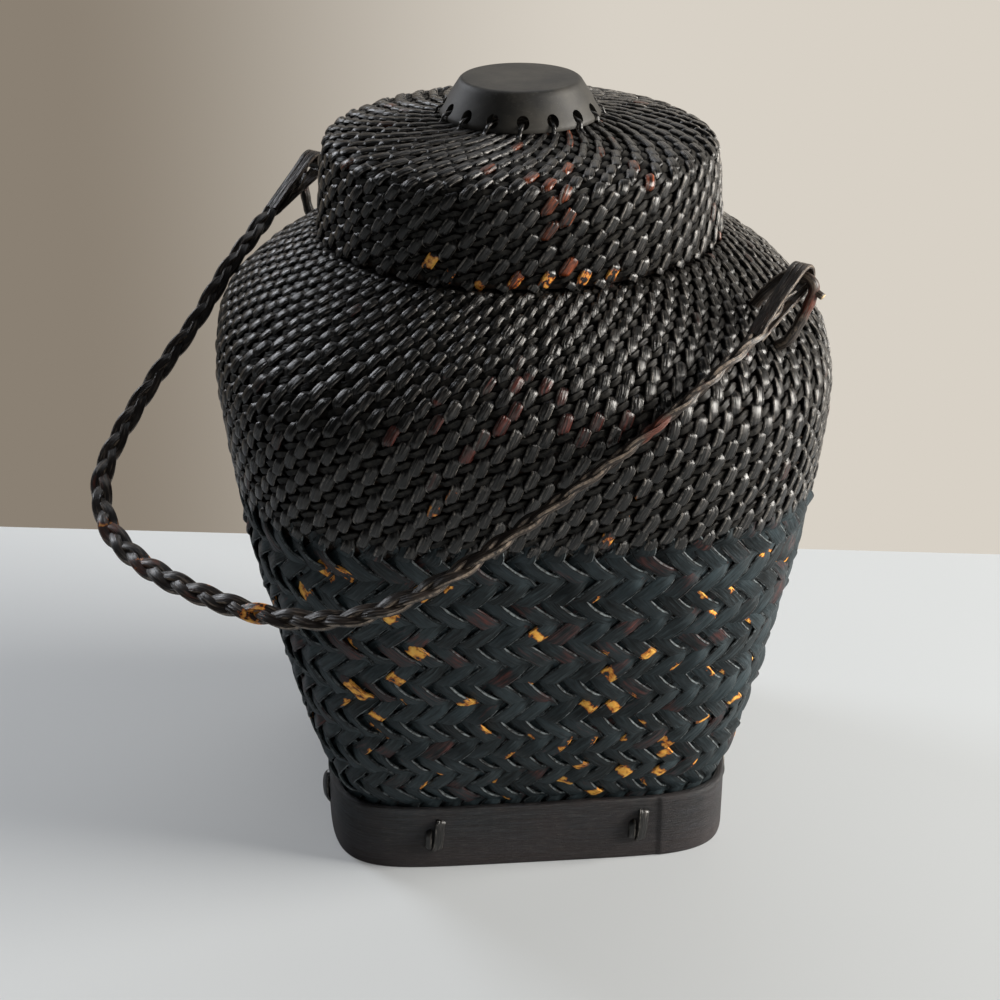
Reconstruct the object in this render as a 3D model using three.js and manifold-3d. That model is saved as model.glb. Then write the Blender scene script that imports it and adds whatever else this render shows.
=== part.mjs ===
// A lidded rice basket: square woven foot, round woven shoulder, slip-over lid and a swinging plaited handle.
// Lengths are millimetres, +Z is up, and the origin is on the ground under the middle of the foot.
import * as THREE from 'three';
import { mergeVertices } from 'three/addons/utils/BufferGeometryUtils.js';
import Module from 'manifold-3d';

const wasm = await Module();
wasm.setup();

// Gap left between pieces that touch
const CLEARANCE = 0.3;

// Foot band: a flat strip bent into a rounded square, its outer end lapped at the front right corner
const FOOT_HALF = 82.2;
const FOOT_SQUARENESS = 6.1;
const FOOT_HEIGHT = 28;
const BAND_THICKNESS = 3.4;
const LAP_THICKNESS = 1.3;
const LAP_START_DEG = -58.5;
const LAP_FADE_DEG = -44;
const LAP_END_DEG = -36;

// Ties: two side by side loops of split cane, twice on each side of the foot
const TIE_OFFSET = 41;
const TIE_WIDTH = 7.8;
const TIE_HEIGHT = 14.4;
const TIE_MIDDLE_Z = 15.6;
const TIE_THICKNESS = 1.5;
const TIE_GROOVE = 0.9;
const SLOT_PLAY = 0.3;

// Woven body: half widths of its section, the height of each, and how square the section is there
const BODY_WALL = 4;
const FLOOR_Z = 6;
const LOWER_HALF = 91.9;
const LOWER_Z = 60;
const LOWER_SQUARENESS = 3.8;
const MIDDLE_HALF = 101.8;
const MIDDLE_Z = 100;
const MIDDLE_SQUARENESS = 3.4;
const UPPER_HALF = 111;
const UPPER_Z = 140;
const UPPER_SQUARENESS = 3.05;
const BELLY_HALF = 118.4;
const BELLY_Z = 198;
const BELLY_SQUARENESS = 2.7;
const SHOULDER_HALF = 107;
const SHOULDER_Z = 222;
const SHOULDER_SQUARENESS = 2.15;

// Neck: the lid sits on the level ring round its root
const SEAT_RADIUS = 79.6;
const SEAT_Z = 242.3;
const NECK_RADIUS = 69.6;
const NECK_TOP_RADIUS = 68;
const NECK_HEIGHT = 21.7;
const NECK_WALL = 3.4;

// Fine weave of the upper body and the lid: rows of crests and dips that alternate from stake to stake,
// so that the crests join in slanting ridges
const BODY_ROW = 5.3;
const SHOULDER_ROW = 4.15;
const SHOULDER_ROW_START = 178;
const SHOULDER_ROW_END = 208;
const FIRST_ROW_LENGTH = 139;
const PLAIT_LENGTH = 136;
const STAKE_COUNT = 140;
const STAKE_SHIFT = -0.3;
const CREST_RISE = 0.4;
const DIP_DEPTH = 2.2;
const FLAT_ROUND_FOOT = 5;

// Hoops that stiffen the mouth
const HOOP_THICKNESS = 1.8;
const HOOP_HEIGHT = 6;
const HOOP_BELOW_TOP = 1;

// Lid: its heights are above the seat
const LID_RADIUS = 78.1;
const LID_WALL = 3.8;
const LID_WAIST_RADIUS = 76.9;
const LID_WAIST_RISE = 13.7;
const LID_CORNER_RADIUS = 75.6;
const LID_CORNER_RISE = 27.7;
const LID_EDGE_RADIUS = 69.5;
const LID_EDGE_RISE = 37.2;
const LID_CROWN_RADIUS = 31;
const LID_CROWN_RISE = 43.3;
const LID_HEIGHT = 44.3;
const LID_HOOP_HEIGHT = 6;
const LID_PLAY = 0.5;
const LID_ROW = 4.4;
const LID_TOP_ROW = 5;
const LID_TOP_ROW_START = 34;
const LID_TOP_ROW_END = 44;
const LID_STAKE_COUNT = 80;
const LID_STAKE_SHIFT = -0.56;
const LID_FLAT_RADIUS = 39;

// Knob: turned wood, hollow below, with a row of lacing holes near its foot
const KNOB_TOP_RADIUS = 22.7;
const KNOB_HEIGHT = 13.8;
const KNOB_EDGE_ROUND = 0.7;
const KNOB_BASE_RADIUS = 30.6;
const KNOB_LIP = 1.6;
const KNOB_RECESS_RADIUS = 25.4;
const KNOB_RECESS_TOP_RADIUS = 19;
const KNOB_CAP_THICKNESS = 5;
const LACE_COUNT = 16;
const LACE_PHASE_DEG = -94;
const LACE_RADIUS = 1.1;
const LACE_PLAY = 0.4;
const LACE_Z_ABOVE_BASE = 4.4;
const LACE_REACH = 3.4;
const LACE_DEPTH = 2.5;
const LACE_OUT = 0.8;
const LACE_OFF_FOOT = 0.6;

// Ears: bent canes on the shoulder whose level tops are the pins that the handle swings on
const EAR_RIGHT_DEG = -37;
const EAR_LEFT_DEG = 132;
const EAR_INSIDE_BELLY = 0.4;
const EAR_TOP_Z = 243;
const EAR_CANE_RADIUS = 2.2;
const EAR_PIN_HALF = 4;
const EAR_OUTER_FOOT_Z = 218;
const EAR_RIGHT_FOOT_DEG = -41;
const EAR_LEFT_FOOT_DEG = 133;
const EAR_INNER_FOOT_Z = 229;
const EAR_RISE = 7;
const EAR_INNER_BEND = 8.8;
const EAR_INNER_DROP = 3.4;
const EAR_OUTER_BEND = 6;
const EAR_OUTER_DROP = 3;
const EAR_OUTER_RISE = 6;
const EAR_FOOT_GAP = 0.4;

// Handle: a plait that ends in an eye round each pin
const EYE_CORD_RADIUS = 1.9;
const EYE_PLAY = 0.35;
const HANDLE_DIAMETER = 6;
// The handle hangs in front, from the left eye to the right one, with the pins 118 from the axis and 243 up
const ROUTE_PIN_RADIUS = 118;
const ROUTE_PIN_Z = 243;
const HANDLE_ROUTE = [
  [-83.3, 83.1, 239.4], [-90.5, 74.5, 233.5], [-98, 64.5, 228.5], [-105, 52.5, 223],
  [-114.5, 39, 215], [-126, 23, 201], [-143, 3.5, 183.5], [-157.5, -17.5, 167.5],
  [-164, -37.5, 156.5], [-161, -58, 149], [-150, -78.5, 144.5], [-131.5, -100, 143],
  [-110.5, -118.5, 143], [-89.5, -132.5, 145], [-70.5, -140, 149.5], [-52.5, -141, 156],
  [-35, -138.5, 164.5], [-15.5, -133.5, 175.5], [5, -128.5, 188.5], [24.5, -123, 200.5],
  [43.5, -115.5, 212.5], [61.5, -104, 223], [74, -93, 229], [82, -84, 234], [90, -75.6, 239.4],
];

// Fineness of the facets
const HOOP_SIDES = 56;
const LOWER_RINGS = 7;
const BODY_INNER_RINGS = 10;
const BAND_SIDES = 88;
const LID_INNER_RINGS = 8;
const KNOB_SIDES = 40;

const degrees = THREE.MathUtils.degToRad;

// Finishes
function finish(color, roughness) {
  return new THREE.MeshStandardMaterial({ color, roughness, metalness: 0 });
}
const darkCane = finish(0x1d1b1c, 0.55);
const brownCane = finish(0x2b1f1a, 0.5);
const bentStrip = finish(0x241d1d, 0.6);
const turnedWood = finish(0x2a2b2d, 0.65);
const lightCane = finish(0x3a2c22, 0.5);

const basket = new THREE.Group();

function addPart(name, geometry, material) {
  const mesh = new THREE.Mesh(geometry, material);
  mesh.name = name;
  basket.add(mesh);
  return mesh;
}

// Solids for joining and cutting
function toSolid(geometry) {
  const bare = geometry.index ? geometry.toNonIndexed() : geometry.clone();
  bare.deleteAttribute('normal');
  bare.deleteAttribute('uv');
  const merged = mergeVertices(bare, 1e-4);
  return new wasm.Manifold(new wasm.Mesh({
    numProp: 3,
    vertProperties: new Float32Array(merged.attributes.position.array),
    triVerts: new Uint32Array(merged.index.array),
  }));
}

function toGeometry(solid) {
  const mesh = solid.getMesh();
  const geometry = new THREE.BufferGeometry();
  geometry.setAttribute('position', new THREE.BufferAttribute(new Float32Array(mesh.vertProperties), 3));
  geometry.setIndex(new THREE.BufferAttribute(new Uint32Array(mesh.triVerts), 1));
  return geometry;
}

// Distance from the axis to a squarish round of the given half width, in the direction angle
function sectionRadius(half, squareness, angle) {
  const c = Math.abs(Math.cos(angle)) ** squareness;
  const s = Math.abs(Math.sin(angle)) ** squareness;
  return half * (c + s) ** (-1 / squareness);
}

// Directions of points at even steps round a squarish ring, the first at a share of the turn past the front
function evenAngles(squareness, count, start) {
  const fine = 720;
  const lengths = [0];
  let last = null;
  for (let i = 0; i <= fine; i += 1) {
    const angle = (i / fine - 0.25) * 2 * Math.PI;
    const r = sectionRadius(1, squareness, angle);
    const point = new THREE.Vector2(r * Math.cos(angle), r * Math.sin(angle));
    if (last) lengths.push(lengths.at(-1) + point.distanceTo(last));
    last = point;
  }
  return Array.from({ length: count }, (_, i) => {
    const share = i / count + start;
    const turns = Math.floor(share);
    const wanted = (share - turns) * lengths.at(-1);
    const k = lengths.findIndex((length) => length > wanted) - 1;
    const step = (wanted - lengths[k]) / (lengths[k + 1] - lengths[k]);
    return ((k + step) / fine - 0.25 + turns) * 2 * Math.PI;
  });
}

// A ring of points, level apart from the rise of each point along the outward direction of the profile
function ring({ half, z, squareness, outX = 1, outZ = 0 }, count, start, rise) {
  return evenAngles(squareness, count, start).map((angle, i) => {
    const r = sectionRadius(half, squareness, angle);
    const point = new THREE.Vector3(r * Math.cos(angle), r * Math.sin(angle), z);
    if (!rise) return point;
    const lift = rise(point, i);
    const radial = new THREE.Vector3(Math.cos(angle), Math.sin(angle), 0);
    return point.addScaledVector(radial, outX * lift).setZ(z + outZ * lift);
  });
}

// A closed surface through rings of points from the axis to the axis; a ring may have twice or half as many
// points as the one before
function loft(rings) {
  const positions = [0, 0, rings[0][0].z];
  const starts = rings.map((points) => {
    const start = positions.length / 3;
    points.forEach((point) => positions.push(point.x, point.y, point.z));
    return start;
  });
  const last = positions.length / 3;
  positions.push(0, 0, rings.at(-1)[0].z);
  const faces = [];
  rings[0].forEach((_, i) => faces.push(0, starts[0] + ((i + 1) % rings[0].length), starts[0] + i));
  for (let k = 0; k + 1 < rings.length; k += 1) {
    const count = Math.min(rings[k].length, rings[k + 1].length);
    const low = (i) => starts[k] + (i % rings[k].length);
    const high = (i) => starts[k + 1] + (i % rings[k + 1].length);
    for (let i = 0; i < count; i += 1) {
      if (rings[k + 1].length > rings[k].length) {
        faces.push(low(i), low(i + 1), high(2 * i + 1));
        faces.push(low(i), high(2 * i + 1), high(2 * i));
        faces.push(low(i + 1), high(2 * i + 2), high(2 * i + 1));
      } else if (rings[k + 1].length < rings[k].length) {
        faces.push(low(2 * i), low(2 * i + 1), high(i));
        faces.push(low(2 * i + 1), low(2 * i + 2), high(i + 1));
        faces.push(low(2 * i + 1), high(i + 1), high(i));
      } else {
        faces.push(low(i), low(i + 1), high(i + 1));
        faces.push(low(i), high(i + 1), high(i));
      }
    }
  }
  const top = starts.at(-1);
  rings.at(-1).forEach((_, i) => faces.push(last, top + i, top + ((i + 1) % rings.at(-1).length)));
  const geometry = new THREE.BufferGeometry();
  geometry.setAttribute('position', new THREE.Float32BufferAttribute(positions, 3));
  geometry.setIndex(faces);
  return geometry;
}

// A plain ring of rectangular section
function hoop(innerRadius, outerRadius, bottomZ, topZ, sides) {
  const outline = [
    new THREE.Vector2(innerRadius, bottomZ),
    new THREE.Vector2(outerRadius, bottomZ),
    new THREE.Vector2(outerRadius, topZ),
    new THREE.Vector2(innerRadius, topZ),
    new THREE.Vector2(innerRadius, bottomZ),
  ];
  return new THREE.LatheGeometry(outline, sides).rotateX(Math.PI / 2);
}

// A round bar along a curve
function bar(curve, radius, sides, steps) {
  const section = new THREE.Shape();
  for (let i = 0; i < sides; i += 1) {
    const angle = (i / sides) * 2 * Math.PI;
    const point = [radius * Math.cos(angle), radius * Math.sin(angle)];
    if (i === 0) section.moveTo(...point);
    else section.lineTo(...point);
  }
  section.closePath();
  return new THREE.ExtrudeGeometry(section, { steps, curveSegments: 1, bevelEnabled: false, extrudePath: curve });
}

// Body profile from the top of the foot band to the lid's seat, as half width against height
const baseHalf = FOOT_HALF - BAND_THICKNESS - CLEARANCE;
const neckTopZ = SEAT_Z + NECK_HEIGHT;
const bodyKnots = [
  { half: baseHalf, z: FOOT_HEIGHT, squareness: FOOT_SQUARENESS },
  { half: LOWER_HALF, z: LOWER_Z, squareness: LOWER_SQUARENESS },
  { half: MIDDLE_HALF, z: MIDDLE_Z, squareness: MIDDLE_SQUARENESS },
  { half: UPPER_HALF, z: UPPER_Z, squareness: UPPER_SQUARENESS },
  { half: BELLY_HALF, z: BELLY_Z, squareness: BELLY_SQUARENESS },
  { half: SHOULDER_HALF, z: SHOULDER_Z, squareness: SHOULDER_SQUARENESS },
  { half: SEAT_RADIUS, z: SEAT_Z, squareness: 2 },
];

const profileCurve = new THREE.SplineCurve(bodyKnots.map((knot) => new THREE.Vector2(knot.half, knot.z)));

function squarenessAt(z) {
  const above = bodyKnots.findIndex((knot) => knot.z >= z);
  if (above < 0) return 2;
  if (above === 0) return bodyKnots[0].squareness;
  const low = bodyKnots[above - 1];
  const high = bodyKnots[above];
  return THREE.MathUtils.mapLinear(z, low.z, high.z, low.squareness, high.squareness);
}

// A point of the profile at a length above the foot band, with the direction that points into the wall
function profileAt(length) {
  const t = Math.min(length / profileCurve.getLength(), 1);
  const point = profileCurve.getPointAt(t);
  const tangent = profileCurve.getTangentAt(t);
  return { half: point.x, z: point.y, squareness: squarenessAt(point.y), inX: -tangent.y, inZ: tangent.x };
}

function profilePoints(count, from, to) {
  return Array.from({ length: count + 1 }, (_, i) => profileAt(from + ((to - from) * i) / count));
}

// Crest or dip of the weave in a row, flat round the feet of the ears
function weaveRise(row, point, i, flatPlaces) {
  const near = Math.min(...flatPlaces.map((place) => place.distanceTo(point)));
  const share = THREE.MathUtils.clamp(near / FLAT_ROUND_FOOT - 1, 0, 1);
  return share * ((row + i) % 2 === 0 ? CREST_RISE : -DIP_DEPTH);
}

// Heights of the rows up to an end, each a pitch above the one before
function rowLengths(first, end, pitchAt) {
  const lengths = [];
  for (let at = first; at < end; at += pitchAt(at + pitchAt(at) / 2)) lengths.push(at);
  return lengths;
}

function bodyPitch(length) {
  const share = (length - SHOULDER_ROW_START) / (SHOULDER_ROW_END - SHOULDER_ROW_START);
  return THREE.MathUtils.lerp(BODY_ROW, SHOULDER_ROW, THREE.MathUtils.clamp(share, 0, 1));
}

function bodyWeave() {
  const length = profileCurve.getLength();
  const feet = earFeet();
  const half = STAKE_COUNT / 2;
  const start = STAKE_SHIFT / STAKE_COUNT;
  const bandTop = profileAt(0);
  const lower = profilePoints(LOWER_RINGS, 0, PLAIT_LENGTH).map((p) => ring(p, half, start));
  const woven = rowLengths(FIRST_ROW_LENGTH, length - SHOULDER_ROW / 2, bodyPitch).map((at, row) => {
    const p = profileAt(at);
    const outward = { ...p, outX: -p.inX, outZ: -p.inZ };
    return ring(outward, STAKE_COUNT, start, (point, i) => weaveRise(row, point, i, feet));
  });
  const neckInner = NECK_RADIUS - NECK_WALL;
  const inside = profilePoints(BODY_INNER_RINGS, 0, length)
    .map((p) => ({ half: p.half + p.inX * BODY_WALL, z: p.z + p.inZ * BODY_WALL, squareness: p.squareness }))
    .filter((p) => p.half > neckInner + 1 && p.z < SEAT_Z - BODY_WALL - 1)
    .map((p) => ring(p, half / 2, start));
  const level = (radius, z, count) => ring({ half: radius, z, squareness: 2 }, count, start);
  return loft([
    ring({ ...bandTop, z: FLOOR_Z }, half, start),
    ...lower,
    ...woven,
    level(SEAT_RADIUS, SEAT_Z, STAKE_COUNT),
    level(NECK_RADIUS, SEAT_Z, half),
    level(NECK_TOP_RADIUS, neckTopZ, half),
    level(NECK_TOP_RADIUS - NECK_WALL, neckTopZ, half),
    level(neckInner, SEAT_Z - BODY_WALL, half),
    ...inside.reverse(),
    ring({ ...bandTop, half: bandTop.half - BODY_WALL, z: FLOOR_Z + BODY_WALL }, half / 2, start),
  ]);
}

// The point of the body's outside at a height and a direction, and the direction square to the surface there
function bodySurface(z, angle) {
  const points = profilePoints(200, 0, profileCurve.getLength());
  let k = points.findIndex((p) => p.z >= z);
  k = Math.max(k, 1);
  const low = points[k - 1];
  const high = points[k];
  const half = THREE.MathUtils.mapLinear(z, low.z, high.z, low.half, high.half);
  const r = sectionRadius(half, squarenessAt(z), angle);
  const radial = new THREE.Vector3(Math.cos(angle), Math.sin(angle), 0);
  const normal = radial.clone().multiplyScalar(-low.inX).setZ(-low.inZ).normalize();
  return { point: radial.multiplyScalar(r).setZ(z), normal };
}

// Foot band outline, with the lap standing proud of the front right corner
function bandOutline(half, lap) {
  const points = [];
  for (let i = 0; i < BAND_SIDES; i += 1) {
    const angle = (i / BAND_SIDES) * 2 * Math.PI - Math.PI;
    let extra = 0;
    const turn = THREE.MathUtils.radToDeg(angle);
    if (lap && turn > LAP_START_DEG && turn < LAP_END_DEG) {
      const fade = (LAP_END_DEG - turn) / (LAP_END_DEG - LAP_FADE_DEG);
      extra = LAP_THICKNESS * Math.min(1, fade);
    }
    const r = sectionRadius(half, FOOT_SQUARENESS, angle) + extra;
    points.push(new THREE.Vector2(r * Math.cos(angle), r * Math.sin(angle)));
    const nextTurn = turn + 360 / BAND_SIDES;
    if (lap && turn <= LAP_START_DEG && nextTurn > LAP_START_DEG) {
      for (const proud of [0, LAP_THICKNESS]) {
        const at = degrees(LAP_START_DEG + (proud ? 0.05 : 0));
        const edge = sectionRadius(half, FOOT_SQUARENESS, at) + proud;
        points.push(new THREE.Vector2(edge * Math.cos(at), edge * Math.sin(at)));
      }
    }
  }
  return points;
}

function footBand() {
  const shape = new THREE.Shape(bandOutline(FOOT_HALF, true));
  shape.holes.push(new THREE.Path(bandOutline(FOOT_HALF - BAND_THICKNESS, false)));
  const band = new THREE.ExtrudeGeometry(shape, { depth: FOOT_HEIGHT, bevelEnabled: false, curveSegments: 1 });
  let solid = toSolid(band);
  for (const place of tiePlaces()) {
    for (const legZ of tieLegHeights()) {
      const slot = new THREE.BoxGeometry(
        TIE_WIDTH + 2 * SLOT_PLAY,
        4 * BAND_THICKNESS,
        TIE_THICKNESS + 2 * SLOT_PLAY,
      );
      slot.translate(place.along, -FOOT_HALF, legZ);
      slot.rotateZ(place.turn);
      solid = solid.subtract(toSolid(slot));
    }
  }
  return toGeometry(solid);
}

const SIDE_NAMES = ['front', 'right', 'back', 'left'];

function tiePlaces() {
  const places = [];
  SIDE_NAMES.forEach((side, quarter) => {
    for (const [hand, sign] of [['a', -1], ['b', 1]]) {
      places.push({ name: `foot_tie_${side}_${hand}`, along: sign * TIE_OFFSET, turn: quarter * Math.PI / 2 });
    }
  });
  return places;
}

function tieLegHeights() {
  const reach = (TIE_HEIGHT - TIE_THICKNESS) / 2;
  return [TIE_MIDDLE_Z - reach, TIE_MIDDLE_Z + reach];
}

// A tie is a staple through two slots of the band, grooved between its two turns
function footTie(place) {
  const outY = -FOOT_HALF - CLEARANCE;
  const backY = -FOOT_HALF + BAND_THICKNESS;
  const [lowZ, highZ] = tieLegHeights();
  const faceHeight = TIE_HEIGHT;
  const face = new THREE.BoxGeometry(TIE_WIDTH, TIE_THICKNESS, faceHeight);
  face.translate(0, outY - TIE_THICKNESS / 2, TIE_MIDDLE_Z);
  let solid = toSolid(face);
  for (const legZ of [lowZ, highZ]) {
    const depth = backY - outY + TIE_THICKNESS / 2;
    const leg = new THREE.BoxGeometry(TIE_WIDTH, depth, TIE_THICKNESS);
    leg.translate(0, backY - depth / 2, legZ);
    solid = solid.add(toSolid(leg));
  }
  const groove = new THREE.BoxGeometry(TIE_GROOVE, TIE_THICKNESS, 2 * TIE_HEIGHT);
  groove.translate(0, outY - TIE_THICKNESS, TIE_MIDDLE_Z);
  solid = solid.subtract(toSolid(groove));
  return toGeometry(solid).translate(place.along, 0, 0).rotateZ(place.turn);
}

// Lid profile from the middle of its top to the bottom of its skirt
const lidCurve = new THREE.SplineCurve([
  new THREE.Vector2(0, SEAT_Z + LID_HEIGHT),
  new THREE.Vector2(LID_CROWN_RADIUS, SEAT_Z + LID_CROWN_RISE),
  new THREE.Vector2(LID_EDGE_RADIUS, SEAT_Z + LID_EDGE_RISE),
  new THREE.Vector2(LID_CORNER_RADIUS, SEAT_Z + LID_CORNER_RISE),
  new THREE.Vector2(LID_WAIST_RADIUS, SEAT_Z + LID_WAIST_RISE),
  new THREE.Vector2(LID_RADIUS, SEAT_Z + CLEARANCE),
]);
// A point of the lid's profile at a length above the bottom of the skirt
function lidProfileAt(length) {
  const t = Math.max(1 - length / lidCurve.getLength(), 0);
  const point = lidCurve.getPointAt(t);
  const tangent = lidCurve.getTangentAt(t);
  return { half: point.x, z: point.y, squareness: 2, outX: -tangent.y, outZ: tangent.x };
}

function lidPitch(length) {
  const share = (length - LID_TOP_ROW_START) / (LID_TOP_ROW_END - LID_TOP_ROW_START);
  return THREE.MathUtils.lerp(LID_ROW, LID_TOP_ROW, THREE.MathUtils.clamp(share, 0, 1));
}

function lidWeave() {
  const start = LID_STAKE_SHIFT / LID_STAKE_COUNT;
  const half = LID_STAKE_COUNT / 2;
  const length = lidCurve.getLength();
  const outside = [ring(lidProfileAt(0), LID_STAKE_COUNT, start)];
  const rows = rowLengths(LID_ROW, length, lidPitch).filter((at) => lidProfileAt(at).half > LID_FLAT_RADIUS);
  rows.forEach((at, row) => {
    const rise = (point, i) => weaveRise(row + 1, point, i, [new THREE.Vector3()]);
    outside.push(ring(lidProfileAt(at), LID_STAKE_COUNT, start, rise));
  });
  const crownStart = rows.at(-1) + LID_TOP_ROW;
  for (const share of [0, 0.35, 0.75]) {
    outside.push(ring(lidProfileAt(crownStart + share * (length - crownStart)), half, start));
  }
  const inside = [];
  for (let i = 0; i < LID_INNER_RINGS; i += 1) {
    const p = lidProfileAt((i / LID_INNER_RINGS) * length);
    const z = i === 0 ? p.z : p.z - p.outZ * LID_WALL;
    inside.push(ring({ half: p.half - p.outX * LID_WALL, z, squareness: 2 }, i < 2 ? LID_STAKE_COUNT : half, start));
  }
  return loft([...inside.reverse(), ...outside]);
}

// Height of the lid's outside at a radius, and its radius at a height of the skirt
const lidPoints = lidCurve.getPoints(600);

function lidHeightAt(radius) {
  return lidPoints.find((point) => point.x >= radius).y;
}

function lidRadiusAt(z) {
  return lidPoints.find((point) => point.x > LID_EDGE_RADIUS && point.y <= z).x;
}

const knobBaseZ = lidHeightAt(KNOB_RECESS_RADIUS) + CLEARANCE;
const knobTopZ = knobBaseZ + KNOB_HEIGHT;
const laceZ = knobBaseZ + LACE_Z_ABOVE_BASE;

// Radius of the knob's flared side at a height
function knobSideRadius(z) {
  return THREE.MathUtils.mapLinear(z, knobBaseZ + KNOB_LIP, knobTopZ, KNOB_BASE_RADIUS, KNOB_TOP_RADIUS);
}

function lidKnob() {
  const recessTopZ = knobTopZ - KNOB_CAP_THICKNESS;
  const outline = [
    new THREE.Vector2(0, recessTopZ),
    new THREE.Vector2(KNOB_RECESS_TOP_RADIUS, recessTopZ),
    new THREE.Vector2(KNOB_RECESS_RADIUS, knobBaseZ),
    new THREE.Vector2(KNOB_BASE_RADIUS, knobBaseZ),
    new THREE.Vector2(KNOB_BASE_RADIUS, knobBaseZ + KNOB_LIP),
    new THREE.Vector2(KNOB_TOP_RADIUS + KNOB_EDGE_ROUND * 0.4, knobTopZ - KNOB_EDGE_ROUND),
    new THREE.Vector2(KNOB_TOP_RADIUS - KNOB_EDGE_ROUND, knobTopZ),
    new THREE.Vector2(0, knobTopZ),
  ];
  let solid = toSolid(new THREE.LatheGeometry(outline, KNOB_SIDES).rotateX(Math.PI / 2));
  for (let i = 0; i < LACE_COUNT; i += 1) {
    const hole = new THREE.CylinderGeometry(LACE_RADIUS + LACE_PLAY, LACE_RADIUS + LACE_PLAY, KNOB_BASE_RADIUS, 10);
    hole.rotateZ(Math.PI / 2);
    hole.translate(KNOB_BASE_RADIUS, 0, laceZ);
    hole.rotateZ(laceAngle(i));
    solid = solid.subtract(toSolid(hole));
  }
  return toGeometry(solid);
}

function laceAngle(i) {
  return degrees(LACE_PHASE_DEG) + (i / LACE_COUNT) * 2 * Math.PI;
}

// A lace comes out of its hole, bends down over the knob's foot and lies on the lid
function knobLace(i) {
  const angle = laceAngle(i);
  const sideRadius = knobSideRadius(laceZ);
  const outRadius = KNOB_BASE_RADIUS + LACE_RADIUS + LACE_OFF_FOOT;
  const endRadius = outRadius + LACE_REACH;
  const endZ = lidHeightAt(endRadius) + LACE_RADIUS + CLEARANCE;
  const route = [
    [sideRadius - LACE_DEPTH, laceZ],
    [sideRadius + LACE_OUT, laceZ],
    [outRadius, (laceZ + knobBaseZ + KNOB_LIP) / 2],
    [outRadius + LACE_OFF_FOOT, endZ + LACE_OUT],
    [endRadius, endZ],
  ];
  const curve = new THREE.CatmullRomCurve3(
    route.map(([r, z]) => new THREE.Vector3(r * Math.cos(angle), r * Math.sin(angle), z)),
    false,
    'centripetal',
  );
  return bar(curve, LACE_RADIUS, 6, 5);
}

// The two pins and the line between them, which the handle swings on
const earRadius = BELLY_HALF - EAR_INSIDE_BELLY;

function earTop(deg) {
  return new THREE.Vector3(earRadius * Math.cos(degrees(deg)), earRadius * Math.sin(degrees(deg)), EAR_TOP_Z);
}
const pinLeft = earTop(EAR_LEFT_DEG);
const pinRight = earTop(EAR_RIGHT_DEG);
const swingAxis = pinRight.clone().sub(pinLeft).normalize();

// The places on the shoulder where the legs of the ears stand
function earFeet() {
  return [[pinLeft, EAR_LEFT_FOOT_DEG], [pinRight, EAR_RIGHT_FOOT_DEG]].flatMap(([pin, footDeg]) => [
    bodySurface(EAR_OUTER_FOOT_Z, degrees(footDeg)).point,
    bodySurface(EAR_INNER_FOOT_Z, Math.atan2(pin.y, pin.x)).point,
  ]);
}

function ear(pin, outward, footDeg) {
  const angle = Math.atan2(pin.y, pin.x);
  const outerFoot = bodySurface(EAR_OUTER_FOOT_Z, degrees(footDeg));
  const innerFoot = bodySurface(EAR_INNER_FOOT_Z, angle);
  const off = (foot, height) => foot.point.clone().addScaledVector(foot.normal, height);
  const along = (distance, drop) => pin.clone().addScaledVector(outward, distance).setZ(EAR_TOP_Z - drop);
  const curve = new THREE.CatmullRomCurve3([
    off(innerFoot, EAR_FOOT_GAP),
    off(innerFoot, EAR_RISE),
    along(-EAR_INNER_BEND, EAR_INNER_DROP),
    along(-EAR_PIN_HALF, 0),
    along(0, 0),
    along(EAR_PIN_HALF, 0),
    along(EAR_OUTER_BEND, EAR_OUTER_DROP),
    off(outerFoot, EAR_OUTER_RISE),
    off(outerFoot, EAR_FOOT_GAP),
  ], false, 'centripetal');
  return bar(curve, EAR_CANE_RADIUS, 8, 24);
}

// An eye of the handle closes round the pin and stands square to it
const eyeRadius = EAR_CANE_RADIUS + EYE_PLAY + EYE_CORD_RADIUS;

function handleEye(pin) {
  const ring = new THREE.TorusGeometry(eyeRadius, EYE_CORD_RADIUS, 8, 20);
  const turn = new THREE.Quaternion().setFromUnitVectors(new THREE.Vector3(0, 0, 1), swingAxis);
  return ring.applyQuaternion(turn).translate(pin.x, pin.y, pin.z);
}

function handleCord() {
  const spread = earRadius / ROUTE_PIN_RADIUS;
  const points = HANDLE_ROUTE.map(([x, y, z]) => (
    new THREE.Vector3(x * spread, y * spread, z + EAR_TOP_Z - ROUTE_PIN_Z)
  ));
  const curve = new THREE.CatmullRomCurve3(points, false, 'centripetal');
  return bar(curve, HANDLE_DIAMETER / 2, 10, 42);
}

// Foot
addPart('foot_band', footBand(), bentStrip);
for (const place of tiePlaces()) {
  addPart(place.name, footTie(place), lightCane);
}

// Body and mouth
addPart('body_weave', bodyWeave(), darkCane);
const hoopTopZ = neckTopZ - HOOP_BELOW_TOP;
const hoopBottomZ = hoopTopZ - HOOP_HEIGHT;
const neckOutAtHoop = THREE.MathUtils.mapLinear(hoopBottomZ, SEAT_Z, neckTopZ, NECK_RADIUS, NECK_TOP_RADIUS);
const outerHoopInside = neckOutAtHoop + CLEARANCE;
const innerHoopOutside = NECK_TOP_RADIUS - NECK_WALL - CLEARANCE;
const outerHoop = hoop(outerHoopInside, outerHoopInside + HOOP_THICKNESS, hoopBottomZ, hoopTopZ, HOOP_SIDES);
const innerHoop = hoop(innerHoopOutside - HOOP_THICKNESS, innerHoopOutside, hoopBottomZ, hoopTopZ, HOOP_SIDES);
addPart('mouth_hoop_outer', outerHoop, brownCane);
addPart('mouth_hoop_inner', innerHoop, brownCane);

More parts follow.
